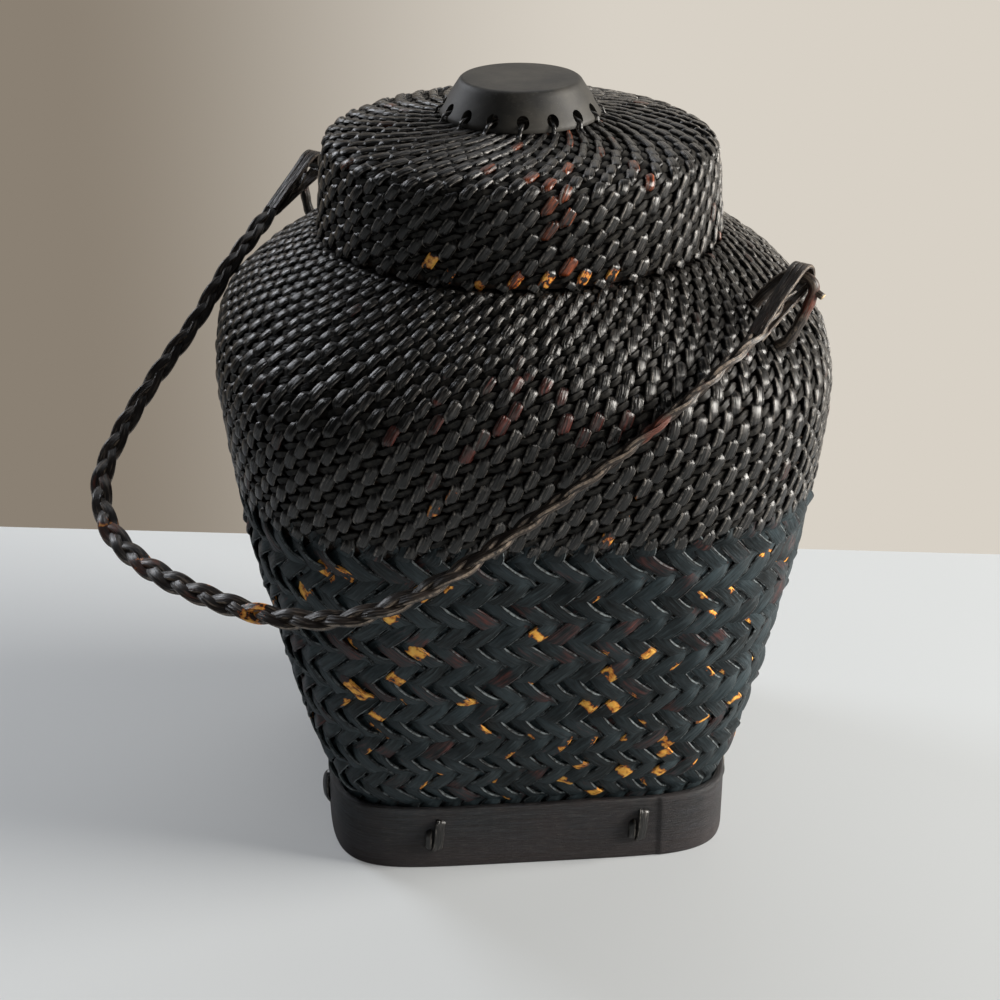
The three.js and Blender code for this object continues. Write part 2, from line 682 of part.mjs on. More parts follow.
// Lid
addPart('lid_weave', lidWeave(), darkCane);
const lidHoopTopZ = SEAT_Z + CLEARANCE + LID_HOOP_HEIGHT;
const lidHoopInside = outerHoopInside + HOOP_THICKNESS + LID_PLAY;
const lidHoopOutside = lidRadiusAt(lidHoopTopZ) - LID_WALL - CLEARANCE;
addPart('lid_rim_hoop', hoop(lidHoopInside, lidHoopOutside, SEAT_Z + CLEARANCE, lidHoopTopZ, HOOP_SIDES), brownCane);
addPart('lid_knob', lidKnob(), turnedWood);
for (let i = 0; i < LACE_COUNT; i += 1) {
  addPart(`knob_lace_${String(i + 1).padStart(2, '0')}`, knobLace(i), brownCane);
}

// Ears and handle
addPart('ear_left', ear(pinLeft, swingAxis.clone().negate(), EAR_LEFT_FOOT_DEG), brownCane);
addPart('ear_right', ear(pinRight, swingAxis, EAR_RIGHT_FOOT_DEG), brownCane);
addPart('handle_eye_left', handleEye(pinLeft), brownCane);
addPart('handle_eye_right', handleEye(pinRight), brownCane);
addPart('handle_cord', handleCord(), brownCane);

export default basket;
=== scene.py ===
"""A lidded rice basket of blackened split cane: plaited foot, woven shoulder and lid, plaited handle.

Lengths are in millimetres until a mesh is made, and Blender gets metres.
"""

import math

import bpy
import numpy as np
from mathutils import Matrix


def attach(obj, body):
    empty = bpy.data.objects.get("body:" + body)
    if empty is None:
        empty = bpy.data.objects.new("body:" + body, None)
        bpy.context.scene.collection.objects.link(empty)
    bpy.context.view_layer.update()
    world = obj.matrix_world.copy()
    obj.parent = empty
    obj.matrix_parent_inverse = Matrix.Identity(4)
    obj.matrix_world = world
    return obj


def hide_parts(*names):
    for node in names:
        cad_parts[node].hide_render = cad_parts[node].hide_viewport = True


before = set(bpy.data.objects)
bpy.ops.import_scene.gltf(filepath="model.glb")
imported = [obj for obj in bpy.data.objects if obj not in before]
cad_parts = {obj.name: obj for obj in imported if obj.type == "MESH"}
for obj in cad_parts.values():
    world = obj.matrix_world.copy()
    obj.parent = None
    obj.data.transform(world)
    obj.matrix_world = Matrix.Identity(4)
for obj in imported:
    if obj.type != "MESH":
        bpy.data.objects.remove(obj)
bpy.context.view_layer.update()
rng = np.random.default_rng(7)
TURN = 2 * math.pi

# Camera at the photograph's place, its view direction and its small roll
CAMERA_PLACE = (-77.87, -740.92, 485.0)
CAMERA_AHEAD = (0.0854, 0.8955, -0.4368)
CAMERA_ROLL_DEG = 0.2
CAMERA_LENS = 72

# Wall of the body: half width, height and squareness of its sections
WALL_KNOTS = np.array([
    (78.5, 28, 6.1), (91.9, 60, 3.8), (101.8, 100, 3.4), (111, 140, 3.05),
    (118.4, 198, 2.7), (107, 222, 2.15), (79.6, 242.3, 2),
])
WALL_FOOT_Z = 6
NECK_ROOT = (69.6, 242.3)
NECK_TOP = (68, 264)
WALL_THICKNESS = 4
NECK_THICKNESS = 3.4
FLOOR_TOP_Z = 10

# Plait of the lower wall
PLAIT_COLUMNS = 70
PLAIT_ROW = 4.95
PLAIT_TOP_ROW = 30.5
PLAIT_TOP = 157.9
PLAIT_SHIFT = 0.10
PLAIT_LIFT = 1.0
PLAIT_THICKNESS = 1.5
PLAIT_DEPTH = 0.95
PLAIT_WANDER = 0.05
PLAIT_UNEVENNESS = 0.12
PLAIT_STATIONS = 150
# Rows in which a strip goes over and under once, and rows over which its lean eases off at the top
PLAIT_PERIOD = 4
PLAIT_BEND = 0.42

# Fine weave of the upper wall and of the lid: pitch of its rows at heights up the wall, and one row's height.
# Shares are a stake's width in its pitch, at heights up the wall. Leans are its side step at a float.
# Depths, of the plait too, are how far a cane's middle lies below the wall's outer surface.
BODY_PITCHES = np.array([(0, 5.3), (200, 5.3), (230, 4.15), (300, 4.15)])
LID_PITCHES = np.array([(0, 4.4), (34, 4.4), (44, 5.0), (120, 5.0)])
BODY_FIRST_ROW = (28, 161.0)
LID_FIRST_ROW = (1, 4.4)
STAKE_LIFT = 1.15
WEAVER_LIFT = 0.63
WEAVER_SHARE = 0.52
SHOULDER_START = 222
STAKE_DEPTH = 1.2
STAKE_UNEVENNESS = 0.3
STAKE_WANDER = 0.08
STAKE_STATIONS = 170
WEAVER_DEPTH = 1.33
WEAVER_DRIFT = 0.15
STEPS_PER_STAKE = 6
STAKE_THICKNESS = 1.7
WEAVER_THICKNESS = 1.1
STAKE_LEAN = 1.25
SHOULDER_LEAN = 1.1
BODY_STAKE_SHARES = np.array([(0, 0.45), (165, 0.43), (190, 0.4), (230, 0.44), (300, 0.44)])
LID_STAKES = 80
LID_STAKE_LEAN = 1.5
LID_STAKE_SHARES = np.array([(0, 0.35), (36, 0.36), (60, 0.4), (120, 0.42)])
LID_STAKE_SHIFT = -0.007

# Distance from the weave's surface in to the wall behind it, which shows only between the strips
CORE_DEPTH = 2.9

# Foot band
FOOT_HALF = 82.2
FOOT_SQUARENESS = 6.1
FOOT_HEIGHT = 28
BAND_THICKNESS = 3.4
BAND_COLUMNS = 1080
LAP_THICKNESS = 0.7
LAP_START_DEG = -58.5
LAP_STEP_DEG = 0.12
LAP_FADE_DEG = -44
LAP_END_DEG = -36
TIE_OFFSET = 41
TIE_HEIGHT = 14.4
TIE_MIDDLE_Z = 15.6
TIE_THICKNESS = 1.5
TIE_PROUD = 1.15
TIE_STATIONS = 27

# Lid and knob
LID_KNOTS = np.array([
    (0, 286.6), (31, 285.6), (69.5, 279.5), (75.6, 270), (76.9, 256), (78.1, 242.6),
])
LID_WALL = 3.8
LID_WEAVE_START = 24
LID_EDGE_Z = 274
LID_STATIONS = 190
KNOB_BASE_Z = 286.2
KNOB_TOP_Z = 300
KNOB_TOP_RADIUS = 22.7
KNOB_BASE_RADIUS = 30.6
LACE_COUNT = 16
LACE_PHASE_DEG = -94
LACE_STATIONS = 22
LACE_WIDTH = 1.7
LACE_THICKNESS = 0.8
# Lacing holes: half their width and half their height, the height of their middle, and their sides
HOLE_HALF = (2.35, 2.4)
HOLE_MIDDLE = 3.9
HOLE_SIDES = 20
# Columns round the lid's wall and round the knob
LID_COLUMNS = 192
KNOB_COLUMNS = 160

# Ears and handle
EAR_RADIUS = 118
EAR_TOP_Z = 243
EAR_OUTER_FOOT_Z = 218
EAR_INNER_FOOT_Z = 229
EAR_WIDTH = 4.3
EAR_THICKNESS = 4.1
EAR_RIGHT_DEG = -37
EAR_LEFT_DEG = 132
EYE_RADIUS = 4.45
EYE_CANE_WIDTH = 2.2
EYE_CANE_THICKNESS = 1.5
EYE_CANE_SPACING = 2.05
# Strands of the handle's plait: their steps to the side and in depth, and the length in which one returns
STRAND_WIDTH = 3.6
STRAND_THICKNESS = 2.2
STRAND_SIDE_STEP = 1.75
STRAND_DEPTH_STEP = 0.95
STRAND_PERIOD = 40
# Cut stub, from the right pin's middle
STUB_START = (3.5, -3.5, -3.0)
STUB_END = (7.2, -6.5, -5.5)
HANDLE_ROUTE = np.array([
    [-83.3, 83.1, 239.4], [-90.5, 74.5, 233.5], [-98, 64.5, 228.5], [-105, 52.5, 223],
    [-114.5, 39, 215], [-126, 23, 201], [-143, 3.5, 183.5], [-157.5, -17.5, 167.5],
    [-164, -37.5, 156.5], [-161, -58, 149], [-150, -78.5, 144.5], [-131.5, -100, 143],
    [-110.5, -118.5, 143], [-89.5, -132.5, 145], [-70.5, -140, 149.5], [-52.5, -141, 156],
    [-35, -138.5, 164.5], [-15.5, -133.5, 175.5], [5, -128.5, 188.5], [24.5, -123, 200.5],
    [43.5, -115.5, 212.5], [61.5, -104, 223], [74, -93, 229], [82, -84, 234], [90, -75.6, 239.4],
])

# Lengths of golden and of reddish places of the plait, and of worn places of the stakes
PALE_LENGTH = 2.6
RED_LENGTH = 3.6
WORN_REACH = 3.4
# Worn places on the front of the plait, as column from the middle and height up the wall
WORN_PALE = [
    (-3.3, 140), (1.2, 137), (-0.4, 119), (-4.9, 128), (-4.0, 111), (4.4, 100), (2.5, 97), (2.5, 80),
    (1.7, 81), (-4.6, 86), (-6.3, 85), (-5.6, 65), (-2.3, 69), (0.5, 60), (-1.7, 58), (3.9, 41),
    (-3.6, 46), (-2.1, 35), (-0.8, 27), (5.6, 57), (6.5, 42), (5.9, 32), (7.5, 20), (-7.5, 143),
    (-6.5, 144), (6.0, 131), (5.8, 123), (7.9, 113), (8.2, 142), (7.0, 91), (8.3, 70), (-8.8, 132),
    (-6.7, 89),
]
WORN_RED = [
    (-4.3, 117), (-0.6, 133), (1.0, 107), (-2.8, 107), (-0.1, 85), (-6.4, 57), (0.3, 44), (-3.5, 36),
    (-2.2, 97), (4.8, 75), (7.6, 61), (2.9, 122), (-1.9, 127), (6.4, 109),
]


# Camera
def look_along(ahead, place, roll=0.0):
    """Matrix of a camera or lamp at a place in metres: it looks ahead, with its sides turned by the roll."""
    ahead = np.array(ahead) / np.linalg.norm(ahead)
    right = np.cross(ahead, (0, 0, 1))
    right /= np.linalg.norm(right)
    up = np.cross(right, ahead)
    rolled_right = right * math.cos(roll) + up * math.sin(roll)
    rolled_up = up * math.cos(roll) - right * math.sin(roll)
    columns = np.column_stack([rolled_right, rolled_up, -ahead, place])
    return Matrix(np.vstack([columns, [0, 0, 0, 1]]).tolist())


def place_camera():
    """Camera from its place, view direction and roll."""
    data = bpy.data.cameras.new("camera")
    data.sensor_width = 36
    data.lens = CAMERA_LENS
    camera = bpy.data.objects.new("camera", data)
    bpy.context.collection.objects.link(camera)
    place = np.array(CAMERA_PLACE) / 1000
    camera.matrix_world = look_along(CAMERA_AHEAD, place, math.radians(CAMERA_ROLL_DEG))
    bpy.context.scene.camera = camera


place_camera()


# Colours and shader nodes
def linear(code):
    """Linear colour of an sRGB hex code."""
    parts = np.array([int(code[i:i + 2], 16) for i in (1, 3, 5)]) / 255
    low = parts / 12.92
    high = ((parts + 0.055) / 1.055) ** 2.4
    return (*np.where(parts <= 0.04045, low, high).tolist(), 1.0)


def add(tree, kind, *inputs, named=None, **settings):
    """Adds a shader node with its properties, fills its inputs in order, then by name, and gives its output.

    An output is linked, a hex code becomes its colour, and anything else is set as it is.
    """
    node = tree.nodes.new("ShaderNode" + kind)
    for name, value in settings.items():
        setattr(node, name, value)
    filled = list(zip([socket for socket in node.inputs if socket.enabled], inputs))
    filled += [(node.inputs[name], value) for name, value in (named or {}).items()]
    for socket, value in filled:
        if isinstance(value, bpy.types.NodeSocket):
            tree.links.new(value, socket)
        else:
            socket.default_value = linear(value) if isinstance(value, str) else value
    return next((socket for socket in node.outputs if socket.enabled), None)


def new_material(name):
    """An empty node material, its tree, and the object's own place for patterns."""
    material = bpy.data.materials.new(name)
    material.use_nodes = True
    tree = material.node_tree
    tree.nodes.clear()
    return material, tree, add(tree, "TexCoord").node.outputs["Object"]


def surface(tree, colour, roughness, height, strength, depth, more=None):
    """Ends a material: its colour, its roughness and a relief whose depth is in metres."""
    bump = add(tree, "Bump", named={"Height": height, "Strength": strength, "Distance": depth})
    looks = {"Base Color": colour, "Roughness": roughness, "Normal": bump, **(more or {})}
    add(tree, "OutputMaterial", add(tree, "BsdfPrincipled", named=looks))


# Values that the points of a strip carry, from nought to about one
STRIP_VALUES = ("tone", "ruddy", "worn", "edge")
# Noise cells per centimetre across and along a strip
FIBRES = (14, 0.9, 1)
HAIRS = (25, 1.3, 1)
TEARS = (6, 3.4, 1)
EDGE_SHADE_COLOUR = "#010101"
BURNT_EDGE = "#a84f18"
BARE_CANE = ("#ff9c1a", "#ffe07a")


def cane(name, ground, hair_glint_colour, rubbed_and_lit_edge_colour, red_colours, gloss, coat, level, depth, glints, edge_shade):
    """Split cane: long fibres along each strip, rubbed edges, red and worn places from the strip's values.

    Split cane: long fibres along each strip, painted highlights along its hairs, painted shade at its edges,
    edges worn lighter (partly a painted highlight), and red and worn places from the strip's values.
    of the stain are about 18 mm across, and specks 2.4 mm. Red and bare places show where the sum of noise
    and the strip's value is high.
    """
    material, tree, place = new_material(name)
    strip = add(tree, "UVMap", uv_map="strip")
    attributes = [add(tree, "Attribute", attribute_name=key).node for key in STRIP_VALUES]
    tone, ruddy, worn, edge = (node.outputs["Fac"] for node in attributes)
    cells = [add(tree, "VectorMath", strip, scale, operation="MULTIPLY") for scale in (FIBRES, HAIRS, TEARS)]
    fibre = add(tree, "TexNoise", cells[0], 1, 3, 0.65)
    hair = add(tree, "TexNoise", cells[1], 1, 2, 0.5)
    tear = add(tree, "TexNoise", cells[2], 1, 3, 0.55)
    cloud = add(tree, "TexNoise", place, 55, 4, 0.6)
    speck = add(tree, "TexNoise", place, 420, 3, 0.7)

    # The stain: lighter along fibres and in clouds, with painted highlights along the bright hairs, painted
    # shade darkening the strip's edges, and edges lighter at specks, partly wear and partly a painted
    # highlight
    streak = add(tree, "MapRange", fibre, 0.34, 0.68)
    shade = add(tree, "MapRange", cloud, 0.3, 0.7)
    both = add(tree, "Math", streak, shade, operation="MULTIPLY")
    toned = add(tree, "Math", tone, 0.45, both, operation="MULTIPLY_ADD")
    plain = add(tree, "Mix", toned, *ground, data_type="RGBA")
    # Painted highlight: the brightest hairs are mixed towards a pale glint colour
    glint = add(tree, "MapRange", hair, 0.53, 0.7, 0, glints)
    hair_glinted = add(tree, "Mix", glint, plain, hair_glint_colour, data_type="RGBA")
    # Painted shade: each strip's edges are mixed towards near black, standing in for the shadow in the gaps
    # between strips
    edge_shade_share = add(tree, "MapRange", edge, 0.3, 0.8, 0, edge_shade)
    edge_shaded = add(tree, "Mix", edge_shade_share, hair_glinted, EDGE_SHADE_COLOUR, data_type="RGBA")
    # Edges lighter at specks: wear, and partly a painted highlight of edges catching the light
    rub_and_lit = add(tree, "Math", speck, 1.6, edge, operation="MULTIPLY_ADD")
    rubbed_and_lit_share = add(tree, "MapRange", rub_and_lit, 1.62, 1.95, 0, 0.9)
    base = add(tree, "Mix", rubbed_and_lit_share, edge_shaded, rubbed_and_lit_edge_colour, data_type="RGBA")

    # Red places, ragged along the fibres
    red_edge = add(tree, "Math", fibre, ruddy, operation="ADD")
    red_mask = add(tree, "MapRange", red_edge, 0.86, 1.16)
    red_part = add(tree, "Mix", streak, *red_colours, data_type="RGBA")
    coloured = add(tree, "Mix", red_mask, base, red_part, data_type="RGBA")

    # Places torn through to bare cane, darker at their ragged edge
    worn_edge = add(tree, "Math", tear, 1.1, worn, operation="MULTIPLY_ADD")
    worn_mask = add(tree, "MapRange", worn_edge, 1.2, 1.24)
    bare = add(tree, "Mix", speck, *BARE_CANE, data_type="RGBA")
    inside = add(tree, "MapRange", worn_edge, 1.22, 1.4)
    torn = add(tree, "Mix", inside, BURNT_EDGE, bare, data_type="RGBA")
    final = add(tree, "Mix", worn_mask, coloured, torn, data_type="RGBA")

    rough = add(tree, "MapRange", hair, 0, 1, *gloss)
    relief = add(tree, "Math", fibre, hair, operation="ADD")
    varnish = {"Specular IOR Level": level, "Coat Weight": coat, "Coat Roughness": 0.25}
    surface(tree, final, rough, relief, 0.9, depth, varnish)
    return material


# Blackened split bamboo, plaited while flat: blue-black and satin, with painted shade darkening its edges
plait_cane = cane(
    "blackened_bamboo_plait", ground=("#070b0d", "#364247"), hair_glint_colour="#4c565a", rubbed_and_lit_edge_colour="#70787b",
    red_colours=("#1c1112", "#5e3632"), gloss=(0.36, 0.6), coat=0.0, level=0.25,
    depth=0.0003, glints=0.35, edge_shade=0.92)
# The same cane split finer and handled more: blacker, with painted highlights along bright hairs and a soft
# shine on each float
stake_cane = cane(
    "blackened_bamboo_weave", ground=("#020202", "#0e0d0c"), hair_glint_colour="#474340", rubbed_and_lit_edge_colour="#85807a",
    red_colours=("#1c0b09", "#5e2a22"), gloss=(0.2, 0.42), coat=0.25, level=0.45,
    depth=0.0004, glints=0.9, edge_shade=0.35)
# The stakes of the lid: the same, with redder places where the lid's edge is rubbed
lid_cane = cane(
    "blackened_bamboo_of_lid", ground=("#020202", "#0e0d0c"), hair_glint_colour="#474340", rubbed_and_lit_edge_colour="#85807a",
    red_colours=("#2c100a", "#a8522a"), gloss=(0.2, 0.42), coat=0.25, level=0.45,
    depth=0.0004, glints=0.9, edge_shade=0.35)
# Flat split rattan of the weavers, blackened with the stakes but duller
weaver_cane = cane(
    "dark_rattan_weavers", ground=("#020202", "#0e0d0c"), hair_glint_colour="#242220", rubbed_and_lit_edge_colour="#2e2c29",
    red_colours=("#1c0e0b", "#301b14"), gloss=(0.35, 0.6), coat=0.0, level=0.2,
    depth=0.0003, glints=0.9, edge_shade=0.5)
# Rattan plait of the handle, polished and rubbed pale where it is held
handle_cane = cane(
    "rubbed_rattan_plait", ground=("#0b0807", "#3a302a"), hair_glint_colour="#6c6157", rubbed_and_lit_edge_colour="#857769",
    red_colours=("#341610", "#7c4434"), gloss=(0.28, 0.55), coat=0.15, level=0.4,
    depth=0.0004, glints=0.9, edge_shade=0.35)


def band_wood():
    """Bent hardwood strip, dark and nearly matt, with level grain and pores.

    The grain is 0.8 mm across and some 20 mm long, the pores 0.2 by 6 mm, and clouds of brown 36 mm across.
    """
    material, tree, place = new_material("bent_strip_wood")
    strip = add(tree, "UVMap", uv_map="strip")
    scaled = add(tree, "VectorMath", strip, (12, 0.45, 1), operation="MULTIPLY")
    grain = add(tree, "TexNoise", scaled, 1, 6, 0.65, named={"Distortion": 0.4})
    thin = add(tree, "VectorMath", strip, (60, 1.6, 1), operation="MULTIPLY")
    pore = add(tree, "TexNoise", thin, 1, 3, 0.6)
    cloud = add(tree, "TexNoise", place, 28, 5, 0.65)
    streak = add(tree, "MapRange", grain, 0.38, 0.64)
    base = add(tree, "Mix", streak, "#050608", "#24282e", data_type="RGBA")
    red = add(tree, "Mix", pore, "#1c1110", "#45302d", data_type="RGBA")

    # Browned in clouds and towards the ground, with pale scratches
    stain = add(tree, "MapRange", cloud, 0.42, 0.72)
    height = add(tree, "SeparateXYZ", place).node.outputs["Z"]
    low = add(tree, "MapRange", height, 0.021, 0.004, 0, 0.75)
    browned = add(tree, "Math", stain, low, operation="MAXIMUM")
    both = add(tree, "Math", browned, pore, operation="MULTIPLY")
    worn = add(tree, "Mix", both, base, red, data_type="RGBA")
    scratch = add(tree, "MapRange", pore, 0.6, 0.68, 0, 0.7)
    scratched = add(tree, "Mix", scratch, worn, "#5a5552", data_type="RGBA")
    rough = add(tree, "MapRange", pore, 0, 1, 0.42, 0.72)
    relief = add(tree, "Math", grain, pore, operation="ADD")
    surface(tree, scratched, rough, relief, 0.8, 0.0004)
    return material


def knob_wood():
    """Turned close-grained wood, stained black: satin, with fine scratches and clouds about 22 mm across."""
    material, tree, place = new_material("black_stained_turned_wood")
    cloud = add(tree, "TexNoise", place, 45, 6, 0.65)
    lines = add(tree, "VectorMath", place, (260, 900, 700), operation="MULTIPLY")
    scratch = add(tree, "TexNoise", lines, 1, 4, 0.7, named={"Distortion": 1.2})
    shade = add(tree, "MapRange", cloud, 0.32, 0.7)
    base = add(tree, "Mix", shade, "#1b1b1b", "#43403a", data_type="RGBA")
    mark = add(tree, "MapRange", scratch, 0.6, 0.72)
    marked = add(tree, "Mix", mark, base, "#4b4a46", data_type="RGBA")
    rough = add(tree, "MapRange", scratch, 0, 1, 0.48, 0.66)
    surface(tree, marked, rough, scratch, 0.35, 0.00015)
    return material


def cut_end():
    """Fresh cross-cut of rattan: pale straw with dark pores, 0.4 mm from one to the next."""
    material, tree, place = new_material("cut_rattan_end")
    pores = add(tree, "TexVoronoi", place, 2400)
    open_pore = add(tree, "MapRange", pores, 0.12, 0.4)
    straw = add(tree, "Mix", open_pore, "#6b4a2a", "#d9bd93", data_type="RGBA")
    surface(tree, straw, 0.8, open_pore, 0.5, 0.0002)
    return material


def lining_cane():
    """Inside of the plait, seen past the rim: brown strips crossing about every 5.5 mm, with painted shade in
    their gaps.

    The gaps are where the sine along the strip times the sine across it is near nought.
    """
    material, tree, place = new_material("plait_seen_inside")
    strip = add(tree, "UVMap", uv_map="strip")
    axes = add(tree, "SeparateXYZ", strip).node.outputs
    pitches = (0.55, 0.575)
    angles = [add(tree, "Math", axes[k], math.pi / pitches[k], operation="MULTIPLY") for k in (0, 1)]
    waves = [add(tree, "Math", angle, operation="SINE") for angle in angles]
    check = add(tree, "Math", *waves, operation="MULTIPLY")
    lift = add(tree, "Math", check, operation="ABSOLUTE")
    cloud = add(tree, "TexNoise", place, 90, 5, 0.65)
    base = add(tree, "Mix", cloud, "#1a120d", "#4a3626", data_type="RGBA")
    # Painted shade: the gaps between the strips are mixed towards near black
    gap_shaded = add(tree, "Mix", lift, "#0b0806", base, data_type="RGBA")
    surface(tree, gap_shaded, 0.6, lift, 0.9, 0.0008)
    return material


bent_wood = band_wood()
turned_wood = knob_wood()
pale_end = cut_end()
lining = lining_cane()


# Meshes
CRISP_ANGLE_DEG = 30


def build(name, points, quads, material, body, slot, ends=None, uv=None, values=None, replaces=(),
          crisp=False):
    """A mesh from arrays: points in mm, four-sided faces and end faces.

    uv is each corner's place on its strip in cm, and values are the strip values of the points.
    """
    mesh = bpy.data.meshes.new(name)
    mesh.vertices.add(len(points))
    mesh.vertices.foreach_set("co", (np.asarray(points, float) / 1000).ravel())
    loops = quads.reshape(-1)
    sizes = np.full(len(quads), quads.shape[1])
    if ends is not None:
        loops = np.concatenate([loops, ends.reshape(-1)])
        sizes = np.concatenate([sizes, np.full(len(ends), ends.shape[1])])
    mesh.loops.add(len(loops))
    mesh.loops.foreach_set("vertex_index", loops.astype(np.int32))
    mesh.polygons.add(len(sizes))
    mesh.polygons.foreach_set("loop_start", np.r_[0, np.cumsum(sizes)[:-1]].astype(np.int32))
    mesh.polygons.foreach_set("loop_total", sizes.astype(np.int32))
    mesh.update(calc_edges=True)
    mesh.polygons.foreach_set("use_smooth", np.full(len(sizes), True))
    layer = mesh.uv_layers.new(name="strip")
    if uv is not None:
        flat = uv.reshape(-1, 2)
        if len(flat) < len(loops):
            flat = np.vstack([flat, np.zeros((len(loops) - len(flat), 2))])
        layer.data.foreach_set("uv", flat.astype(np.float32).ravel())
    for key in STRIP_VALUES:
        attribute = mesh.attributes.new(key, "FLOAT", "POINT")
        if values is not None and key in values:
            attribute.data.foreach_set("value", np.asarray(values[key], np.float32).ravel())
    mesh.materials.append(material)
    mesh.validate()
    if crisp:
        mesh.set_sharp_from_angle(angle=math.radians(CRISP_ANGLE_DEG))
    thing = bpy.data.objects.new(name, mesh)
    bpy.context.collection.objects.link(thing)
    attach(thing, body)
    if replaces:
        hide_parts(*replaces)
    return thing


def unit(vectors):
    """Vectors of length one along the last axis."""
    return vectors / np.maximum(np.linalg.norm(vectors, axis=-1, keepdims=True), 1e-9)


def spline(knots, count):
    """Catmull-Rom curve through the knots: stretches are cubics whose end slopes are half the step across."""
    last = len(knots) - 1
    t = np.linspace(0, last, count)
    i = np.minimum(t.astype(int), last - 1)
    w = (t - i)[:, None]
    before, start = knots[np.maximum(i - 1, 0)], knots[i]
    end, after = knots[i + 1], knots[np.minimum(i + 2, last)]
    leave, arrive = (end - before) / 2, (after - start) / 2
    cubic = (2 * start - 2 * end + leave + arrive) * w ** 3
    return cubic + (3 * end - 3 * start - 2 * leave - arrive) * w ** 2 + leave * w + start


def route_line(points, count):
    """Centripetal Catmull-Rom curve through the points: knots are spaced by the root of the distance."""
    first = 2 * points[0] - points[1]
    final = 2 * points[-1] - points[-2]
    p = np.vstack([first, points, final])
    gap = np.sqrt(np.linalg.norm(np.diff(p, axis=0), axis=1))
    t = np.linspace(0, len(points) - 1, count)
    i = np.minimum(t.astype(int), len(points) - 2)
    w = (t - i)[:, None]
    a, b, c = gap[i][:, None], gap[i + 1][:, None], gap[i + 2][:, None]
    p0, p1, p2, p3 = p[i], p[i + 1], p[i + 2], p[i + 3]
    leave = ((p1 - p0) / a - (p2 - p0) / (a + b) + (p2 - p1) / b) * b
    arrive = ((p2 - p1) / b - (p3 - p1) / (b + c) + (p3 - p2) / c) * b
    cubic = (2 * p1 - 2 * p2 + leave + arrive) * w ** 3
    return cubic + (3 * p2 - 3 * p1 - 2 * leave - arrive) * w ** 2 + leave * w + p1


def even(line, step):
    """The line again with points at even steps, and their distances along it."""
    length = np.r_[0, np.cumsum(np.linalg.norm(np.diff(line, axis=0), axis=1))]
    wanted = np.linspace(0, length[-1], max(2, int(round(length[-1] / step)) + 1))
    return np.stack([np.interp(wanted, length, line[:, k]) for k in range(line.shape[1])], -1), wanted


def section_radius(half, squareness, angle):
    """Distance from the axis to a superellipse: half / (|cos|^n + |sin|^n)^(1/n)."""
    c = np.abs(np.cos(angle)) ** squareness
    s = np.abs(np.sin(angle)) ** squareness
    return half * (c + s) ** (-1 / squareness)


def polar(radius, angle, z):
    """Points at distances from the axis, in directions round it, and at heights."""
    x, y, z = np.broadcast_arrays(radius * np.cos(angle), radius * np.sin(angle), z)
    return np.stack([x, y, z], -1)


class Wall:
    """A wall's outer surface as a table: rows at even steps up its profile, columns at even steps round."""

    TABLE_STEP = 1.25
    TABLE_COLUMNS = 560
    MEASURING_STEPS = 1440

    def __init__(self, profile):
        """Profile rows are half width, height and squareness, from the start of the strips to their end."""
        self.profile, self.heights = even(profile, self.TABLE_STEP)
        self.step = self.heights[1]
        half, z, squareness = (self.profile[:, k:k + 1] for k in range(3))
        angle = np.linspace(-math.pi / 2, 1.5 * math.pi, self.MEASURING_STEPS + 1)[None]
        outline = polar(section_radius(half, squareness, angle), angle, z)
        steps = np.hypot(np.diff(outline[..., 0]), np.diff(outline[..., 1]))
        lengths = np.concatenate([np.zeros((len(half), 1)), np.cumsum(steps, axis=1)], axis=1)
        self.girth = lengths[:, -1]
        share = np.linspace(0, 1, self.TABLE_COLUMNS + 1)
        angles = np.stack([np.interp(share * row[-1], row, angle[0]) for row in lengths])
        self.points = polar(section_radius(half, squareness, angles), angles, z)
        up = np.gradient(self.points, axis=0)
        ring = np.concatenate([self.points[:, -2:-1], self.points, self.points[:, 1:2]], axis=1)
        around = ring[:, 2:] - ring[:, :-2]
        self.normals = unit(np.cross(around, up))

    def at(self, turn, height):
        """Points and outward directions at shares of a turn and distances up the profile, from the table."""
        rows = np.clip(height / self.step, 0, len(self.heights) - 1.001)
        columns = np.mod(turn, 1) * (self.points.shape[1] - 1)
        i, j = rows.astype(int), np.minimum(columns.astype(int), self.points.shape[1] - 2)
        a, b = (rows - i)[..., None], (columns - j)[..., None]
        found = []
        for table in (self.points, self.normals):
            low = table[i, j] * (1 - b) + table[i, j + 1] * b
            high = table[i + 1, j] * (1 - b) + table[i + 1, j + 1] * b
            found.append(low * (1 - a) + high * a)
        return found[0], unit(found[1])

    def lay_rows(self, pitches, first_row):
        """Numbers the rows of a weave: the running sum of one over the pitch, from one row's height."""
        pitch = np.interp(self.heights, pitches[:, 0], pitches[:, 1])
        numbers = np.r_[0, np.cumsum(self.step * 2 / (pitch[1:] + pitch[:-1]))]
        self.numbers = numbers + first_row[0] - np.interp(first_row[1], self.heights, numbers)

    def row_at(self, height):
        """Row number at distances up the profile."""
        return np.interp(height, self.heights, self.numbers)

    def row_height(self, row):
        """Distance up the profile of rows."""
        return np.interp(row, self.numbers, self.heights)

    def girth_at(self, height):
        """Length round the wall at distances up the profile."""
        return np.interp(height, self.heights, self.girth)


